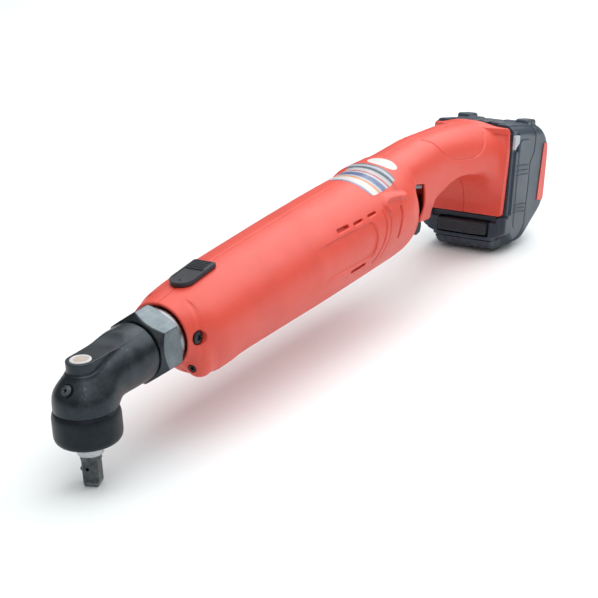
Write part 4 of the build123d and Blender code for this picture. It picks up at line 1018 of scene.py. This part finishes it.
def trigger_d(x, y, z):
    d = poly2(x + 0 * z, z + 0 * x, TRIGGER)
    d = sx(d, np.abs(y) - 8.0, 1.6)
    # grip grooves across the underside
    for cx, cz in ((-351.5, -29.4), (-355.5, -30.5), (-359.5, -31.7), (-363.5, -33.0)):
        d = sx(d, -(np.sqrt((x - cx) ** 2 + (z - cz) ** 2) - 0.8), 0.4)
    # black shoulders inside the cheeks, behind the finger opening: a dark block put in the cavity as painted shade,
    # standing in for the shadow there
    d = sm(d, rbox(x, y, z, (-364.6, -14.0, -19.0), (-354.6, 14.0, -1.5), 1.2), 0.4)
    return np.minimum(d, rbox(x, y, z, (-356.0, -3.0, -2.0), (-350.0, 3.0, 6.0), 0.4))


ts = 0.42
shape("trigger_finger", trigger_d, spaced(-374.4, -340.7, ts), spaced(-14.8, 14.8, ts), spaced(-34.4, 6.8, ts), "trigger", ["trigger"], M_BLACK)


LEVER_BAR = [(-342.6, 12.6), (-348.0, 11.15), (-348.0, 8.55), (-342.6, 10.0)]
LEVER_TAB = [(-342.6, 12.6), (-353.2, 9.75), (-353.2, 7.15), (-342.6, 10.0)]


def lever_d(x, y, z):
    a = np.abs(y)
    d = sx(poly2(x + 0 * z, z + 0 * x, LEVER_BAR), a - 19.6, 0.5)
    tab = sx(poly2(x + 0 * z, z + 0 * x, LEVER_TAB), np.maximum(a - 20.6, 13.0 - a), 0.6)
    for k in range(3):
        tab = sx(tab, -(np.sqrt((x + 345.6 + 2.3 * k) ** 2 + (a - 20.9) ** 2) - 0.62), 0.3)
    return np.minimum(d, tab)


ls = 0.27
shape("direction_lever_bar", lever_d, spaced(-353.9, -341.9, ls), spaced(-21.2, 21.2, ls), spaced(6.4, 13.3, ls), "direction", ["direction_lever"], M_LEVER)


def spring(name, node, body):
    """a copy of a CAD spring's mesh, riding on a body in place of the hidden CAD node"""
    ob = bpy.data.objects.new(name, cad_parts[node].data.copy())
    bpy.context.scene.collection.objects.link(ob)
    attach(ob, body)
    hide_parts(node)
    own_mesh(ob)


spring("trigger_coil", "trigger_spring", "trigger")
spring("detent_coil", "detent_spring", "spindle")
spring("button_coils", "button_springs", "battery")

# ---------------------------------------------------------------------------
# battery pack, in the frame of the foot
# ---------------------------------------------------------------------------
FOOT = (np.array([[CA, 0, -SA], [0, 1, 0], [SA, 0, CA]]), np.array([FOOT_X, 0.0, FOOT_Z]))
BACK = [(-55.3, 69.0, -0.567, 0.824), (-63.6, 63.5, -0.943, 0.333), (-66.8, 55.0, -1.0, -0.012), (-65.6, 7.4, -0.87, -0.493),
        (-62.9, 4.2, -0.586, -0.811), (-18.0, -27.2, 0.0, -1.0), (-5.2, -27.2, 0.745, -0.667)]
FRONT = [(-3.4, 90.0), (-3.4, -0.6), (-1.2, -0.6), (0.2, -2.2), (0.2, -70.0), (-90.0, -70.0), (-90.0, 90.0)]
SPLIT = [(12.0, 90.0), (-40.6, 90.0), (-40.8, 56.0)] + smooth_path([(-40.4, 50.5), (-39.4, 46.8), (-36.6, 43.4), (-34.6, 39.5), (-34.4, 33.0), (-34.6, 24.0), (-34.0, 14.0), (-33.0, 4.0),
        (-31.8, -6.0), (-29.6, -11.2), (-26.0, -14.4), (-20.4, -17.0), (-8.0, -18.9), (0.0, -19.9)], 3) + [(12.0, -21.4)]


def pack_outer(x, y, z):
    d = z - 69.0
    for px, pz, nx, nz in BACK:
        d = sx(d, (x - px) * nx + (z - pz) * nz, 4.0)
    side = np.abs(y) - 35.6
    # edges are soft at the back and below, tighter beside the foot
    k = 2.2 + 2.6 * step((-20.0 - x) / 28.0) + 9.0 * step((-4.0 - z) / 12.0) * step((x + 26.0) / 18.0) + 8.0 * step((z - 50.0) / 16.0)
    h = np.clip(0.5 + 0.5 * (-side + d) / k, 0.0, 1.0)
    d = side + (d - side) * h + k * h * (1.0 - h)
    # slanted lower front corners, above the chin
    d = sx(d, (np.abs(y) - 35.6) * 0.316 - (np.maximum(z, -17.3) + 13.8) * 0.949 - 0.9 * np.maximum(-9.0 - x, 0.0), 2.5)
    return sx(d, poly2(x + 0 * z, z + 0 * x, FRONT), 1.2)


def front_d(x, y, z):
    a = np.abs(y)
    d = pack_outer(x, y, z)
    # raised side field with two groups of ribs
    i, X, Y, Z = near(d, x, a, z, 3.0)
    if len(i):
        e = d.ravel()[i]
        on = Y > 30.0
        field = rect2(X, Z, (-31.0, -9.0), (-13.0, 58.0), 4.0)
        e = np.where(on, e + 0.55 * step(0.5 + field / 1.2), e)
        for zz in (38.3, 34.7, 31.3, 8.7, 5.7, 2.9):
            s = path2(X, Z, [(-12.4, zz), (-29.6, zz)])
            e = np.where(on, e - 0.75 * step(1.25 - s / 0.8), e)
        d.ravel()[i] = e
    # ears and the step between them
    d = sm(d, rbox(x, a, z, (-50.0, 19.5, 60.0), (-34.0, 30.2, 72.2), 2.0), 1.2)
    d = sm(d, rbox(x, a, z, (-47.0, 9.0, 60.0), (-35.0, 21.5, 70.4), 1.5), 1.0)
    # shaded step above the release button
    d = sx(d, -rbox(x, y, z, (-3.0, -27.0, -5.6), (10.0, 27.0, -0.9), 0.8), 0.6)
    # shadowed channel beside the foot
    d = sx(d, -rbox(x, a, z, (-8.2, 33.5, 1.2), (8.0, 50.0, 51.0), 0.6), 0.5)
    d = sx(d, -rbox(x, a, z, (-12.0, 33.5, 49.0), (8.0, 50.0, 64.4), 0.6), 0.5)
    # slot for the foot's tongue and the contacts
    d = sx(d, -rbox(x, y, z, (-8.0, -19.7, 4.4), (10.0, 19.7, 90.0), 0.2), 0.4)
    d = sx(d, -rbox(x, y, z, (-11.3, -23.7, 4.4), (-6.3, 23.7, 90.0), 0.2), 0.3)
    for c in (-9.0, 0.0, 9.0):
        d = np.maximum(d, -rbox(x, y, z, (-20.0, c - 1.3, 20.0), (-10.0, c + 1.3, 90.0), 0.1))
    # pocket of the release button
    d = sx(d, -rbox(x, y, z, (-8.7, -21.3, -16.8), (10.0, 21.3, -4.6), 0.6), 0.5)
    return sx(d, poly2(x + 0 * z, z + 0 * x, SPLIT) + 0.12, 0.9)


def rear_d(x, y, z):
    d = pack_outer(x, y, z)
    # finger ribs under the pack
    low = step((-17.0 - z) / 8.0) * step((33.5 - np.abs(y)) / 3.0)
    d = d + 0.55 * low * (1.0 + np.cos(2 * math.pi * y / 6.3)) * 0.5
    d = sm(d, rbox(x, np.abs(y), z, (-50.0, 19.5, 60.0), (-34.0, 30.2, 72.2), 2.0), 1.2)
    # the chin in front is narrower than the shell behind it
    wide = 24.4 + 11.5 * step((-16.0 - x) / 20.0)
    d = sx(d, np.abs(y) - wide, 2.4)
    return sx(d, -poly2(x + 0 * z, z + 0 * x, SPLIT) + 0.12, 0.9)


ps = 0.56
shape("battery_front_case", front_d, spaced(-43.0, 1.2, ps), spaced(-36.6, 36.6, ps), spaced(-23.0, 73.2, ps), "battery", ["battery_front_shell"], M_PACK, place=FOOT)
shape("battery_rear_case", rear_d, spaced(-68.0, 1.2, ps), spaced(-36.6, 36.6, ps), spaced(-28.4, 73.2, ps), "battery", ["battery_rear_shell"], M_PACK, place=FOOT)


def button_d(x, y, z):
    d = rbox(x, y, z, (-5.8, -20.4, -15.8), (3.2, 20.4, -5.6), 1.5)
    # slight crown and a thumb ledge along the upper edge
    d = d + 0.0009 * y * y * step((x + 2.0) / 3.0)
    d = sm(d, rbox(x, y, z, (-3.0, -19.6, -7.9), (3.9, 19.6, -6.2), 0.7), 0.5)
    i, X, Y, Z = near(d, x, y, z, 1.5)
    if len(i):
        e = d.ravel()[i]
        on = (X > 1.0) & (Z < -8.4) & (Z > -15.0) & (np.abs(Y) < 19.4)
        dots = np.cos(2 * math.pi * Y / 2.3) * np.cos(2 * math.pi * Z / 2.3)
        d.ravel()[i] = np.where(on, e - 0.2 * dots, e)
    return d


bs = 0.38
shape("battery_button_pad", button_d, spaced(-6.6, 4.8, bs), spaced(-21.2, 21.2, bs), spaced(-16.6, -4.8, bs), "release_button", ["battery_button"], M_PEBBLE, place=FOOT)


def rail_d(x, y, z):
    d = rbox(x, np.abs(y), z, (-11.2, 33.2, 50.6), (-3.9, 35.75, 61.4), 0.6)
    d = sx(d, ((-x - 8.6) * 0.6 + (53.4 - z) * 0.8), 0.5)
    return sx(d, -(np.sqrt((x + 7.4) ** 2 + (np.abs(y) - 36.2) ** 2) - 0.9), 0.4)


shape("battery_rail_cap_pair", rail_d, spaced(-12.0, -3.2, 0.34), spaced(-36.6, 36.6, 0.34), spaced(49.8, 62.2, 0.34), "battery", ["battery_rail_caps"], M_GREY, place=FOOT)


# ---------------------------------------------------------------------------
# thin bands and stickers laid on the skin
# ---------------------------------------------------------------------------
def skin_patch(fn, P, N, top, under):
    """closed sheet over a grid of skin points; P and N have shape (n, m, 3)"""
    n, m = P.shape[:2]
    V = np.concatenate([(P + N * top).reshape(-1, 3), (P - N * under).reshape(-1, 3)])
    k = n * m
    F = []
    for i in range(n - 1):
        for j in range(m - 1):
            a = i * m + j
            F.append((a, a + 1, a + m + 1, a + m))
            F.append((k + a, k + a + m, k + a + m + 1, k + a + 1))
    edge = [(0, j) for j in range(m)] + [(i, m - 1) for i in range(1, n)] + [(n - 1, j) for j in range(m - 2, -1, -1)] + [(i, 0) for i in range(n - 2, 0, -1)]
    ids = [i * m + j for i, j in edge]
    for a, b in zip(ids, ids[1:] + ids[:1]):
        F.append((a, k + a, k + b, b))
    return V, F


def gradient(fn, P, e=0.2):
    G = np.empty_like(P)
    for c in range(3):
        hi, lo = P.copy(), P.copy()
        hi[:, c] += e
        lo[:, c] -= e
        G[:, c] = fn(hi[:, 0], hi[:, 1], hi[:, 2]) - fn(lo[:, 0], lo[:, 1], lo[:, 2])
    return G / np.maximum(np.linalg.norm(G, axis=1), 1e-9)[:, None]


def sticker(name, mid, half, power, mat, n=56):
    """sticker on the top of the housing, its outline a rounded rectangle or an oval seen from above"""
    t = np.linspace(-1, 1, n)
    A, B = np.meshgrid(t, t, indexing="ij")
    s = np.maximum(np.maximum(np.abs(A), np.abs(B)), 1e-9)
    f = 1.0 / ((np.abs(A / s) ** power + np.abs(B / s) ** power) ** (1.0 / power))
    X, Y = (mid[0] + half[0] * A * f).ravel(), (mid[1] + half[1] * B * f).ravel()
    lo, hi = np.full(X.shape, 4.0), np.full(X.shape, 60.0)
    for _ in range(40):
        c = (lo + hi) / 2
        out = housing_base(X, Y, c) > 0
        hi, lo = np.where(out, c, hi), np.where(out, lo, c)
    P = np.stack([X, Y, (lo + hi) / 2], 1)
    N = gradient(housing_base, P)
    V, F = skin_patch(None, P.reshape(n, n, 3), N.reshape(n, n, 3), 0.16, 0.25)
    V = (V + np.array([0, 0, LIFT])) / 1000.0
    return add_faces(name, V, F, "tool", [], mat, 50.0)


sticker("top_label", (-297.2, 5.2), (16.8, 17.6), 9.0, M_LABEL)
sticker("top_oval", (-322.8, 6.5), (6.6, 10.6), 2.4, M_WHITE)


def side_strip():
    V, F = [], []
    n, m = 22, 60
    for s in (1, -1):
        Z = np.linspace(10.0, 54.0, m)
        a0 = np.interp(Z, (10.0, 54.0), (19.0, 30.0))
        ang = np.radians(a0[None, :] + (64.0 - a0[None, :]) * np.linspace(0, 1, n)[:, None])
        dx, dy = -np.sin(ang), s * np.cos(ang)
        zz = np.broadcast_to(Z, ang.shape)
        lo, hi = np.zeros(ang.shape), np.full(ang.shape, 60.0)
        ox, oy = -46.0, s * 18.0
        for _ in range(40):
            c = (lo + hi) / 2
            out = pack_outer(ox + dx * c, oy + dy * c, zz) > 0
            hi, lo = np.where(out, c, hi), np.where(out, lo, c)
        c = (lo + hi) / 2
        P = np.stack([ox + dx * c, oy + dy * c, zz], -1)
        N = gradient(pack_outer, P.reshape(-1, 3)).reshape(P.shape)
        v, f = skin_patch(None, P, N, 0.22, 0.3)
        F += [tuple(k + len(V) for k in q) for q in f]
        V += list(v)
    V = np.array(V) @ FOOT[0].T + FOOT[1]
    return add_faces("battery_side_strips", (V + np.array([0, 0, LIFT])) / 1000.0, F, "battery", ["battery_strip"], M_STRIP, 50.0)


side_strip()

# ---------------------------------------------------------------------------
# stage, light and camera
# ---------------------------------------------------------------------------
def stage_floor():
    tip = Vector((0.0, 0.0, -0.0166))
    rest = Vector((-0.4670, 0.0, -0.0303))
    run = (tip - rest).normalized()
    up = Vector((0, 1, 0)).cross(run) * -1
    up = run.cross(Vector((0, 1, 0)))
    s = 6.0
    mid = (tip + rest) / 2
    side = Vector((0, 1, 0))
    n = 24
    V, Q = [], []
    for i in range(n + 1):
        for j in range(n + 1):
            V.append(mid + run * (i / n - 0.5) * s + side * (j / n - 0.5) * s)
    for i in range(n):
        for j in range(n):
            a = i * (n + 1) + j
            Q.append((a, a + n + 1, a + n + 2, a + 1))
    me = bpy.data.meshes.new("floor")
    me.from_pydata([tuple(v) for v in V], [], Q)
    ob = bpy.data.objects.new("floor", me)
    bpy.context.scene.collection.objects.link(ob)
    m = Mat("pale_floor")
    m.colour(m.ramp(m.noise(3.0, 2.0), [(0.3, (0.84, 0.88, 0.885)), (0.7, (0.87, 0.91, 0.915))]))
    m.set(Roughness=0.6)
    me.materials.append(m.m)
    return ob


stage_floor()

world = bpy.data.worlds.new("studio")
bpy.context.scene.world = world
world.use_nodes = True
wt = world.node_tree
bg = wt.nodes["Background"]
way = wt.nodes.new("ShaderNodeSeparateXYZ")
wt.links.new(wt.nodes.new("ShaderNodeTexCoord").outputs["Generated"], way.inputs[0])
sky = wt.nodes.new("ShaderNodeValToRGB")
el = sky.color_ramp.elements
el.new(0.5)
for e, (p, v) in zip(el, ((0.0, 0.14), (0.35, 0.42), (1.0, 1.15))):
    e.position, e.color = p, (v, v, v * 1.01, 1.0)
wt.links.new(way.outputs["Z"], sky.inputs["Fac"])
wt.links.new(sky.outputs["Color"], bg.inputs[0])
bg.inputs[1].default_value = 0.68
bpy.context.scene.view_settings.view_transform = "Standard"


def lamp(name, place, aim, size, power, colour=(1, 1, 1)):
    li = bpy.data.lights.new(name, "AREA")
    li.shape = "RECTANGLE"
    li.size, li.size_y = size
    li.energy = power
    li.color = colour
    ob = bpy.data.objects.new(name, li)
    bpy.context.scene.collection.objects.link(ob)
    ob.location = place
    ob.rotation_euler = (Vector(aim) - Vector(place)).to_track_quat("-Z", "Y").to_euler()
    return ob


lamp("top_soft", (-0.22, 0.25, 1.30), (-0.23, 0.0, 0.03), (1.8, 1.5), 14.5)
lamp("front_soft", (0.9, 0.9, 0.7), (-0.20, 0.0, 0.03), (0.9, 0.9), 1.8)
lamp("rear_soft", (-1.35, 0.30, 0.90), (-0.25, 0.0, 0.03), (1.7, 0.9), 11.0)
lamp("far_soft", (-1.5, -1.1, 1.5), (-1.6, -1.2, 0.0), (1.8, 1.8), 12.0)

# the photograph's view
C = Vector((0.66610, 0.58520, 0.43660))
YAW, PITCH, ROLL, FOCAL = math.radians(-146.56), math.radians(21.65), math.radians(-3.33), 1746.77
f = Vector((math.cos(PITCH) * math.cos(YAW), math.cos(PITCH) * math.sin(YAW), -math.sin(PITCH)))
r0 = f.cross(Vector((0, 0, 1))).normalized()
u0 = r0.cross(f)
rgt = r0 * math.cos(ROLL) + u0 * math.sin(ROLL)
upv = -r0 * math.sin(ROLL) + u0 * math.cos(ROLL)
cam_data = bpy.data.cameras.new("camera")
cam = bpy.data.objects.new("camera", cam_data)
bpy.context.scene.collection.objects.link(cam)
cam_data.sensor_fit = "HORIZONTAL"
cam_data.sensor_width = 36.0
cam_data.lens = FOCAL / 598.0 * 36.0
cam_data.clip_start, cam_data.clip_end = 0.02, 30.0
cam.matrix_world = Matrix(((rgt.x, upv.x, -f.x, C.x), (rgt.y, upv.y, -f.y, C.y), (rgt.z, upv.z, -f.z, C.z), (0, 0, 0, 1)))
bpy.context.scene.camera = cam
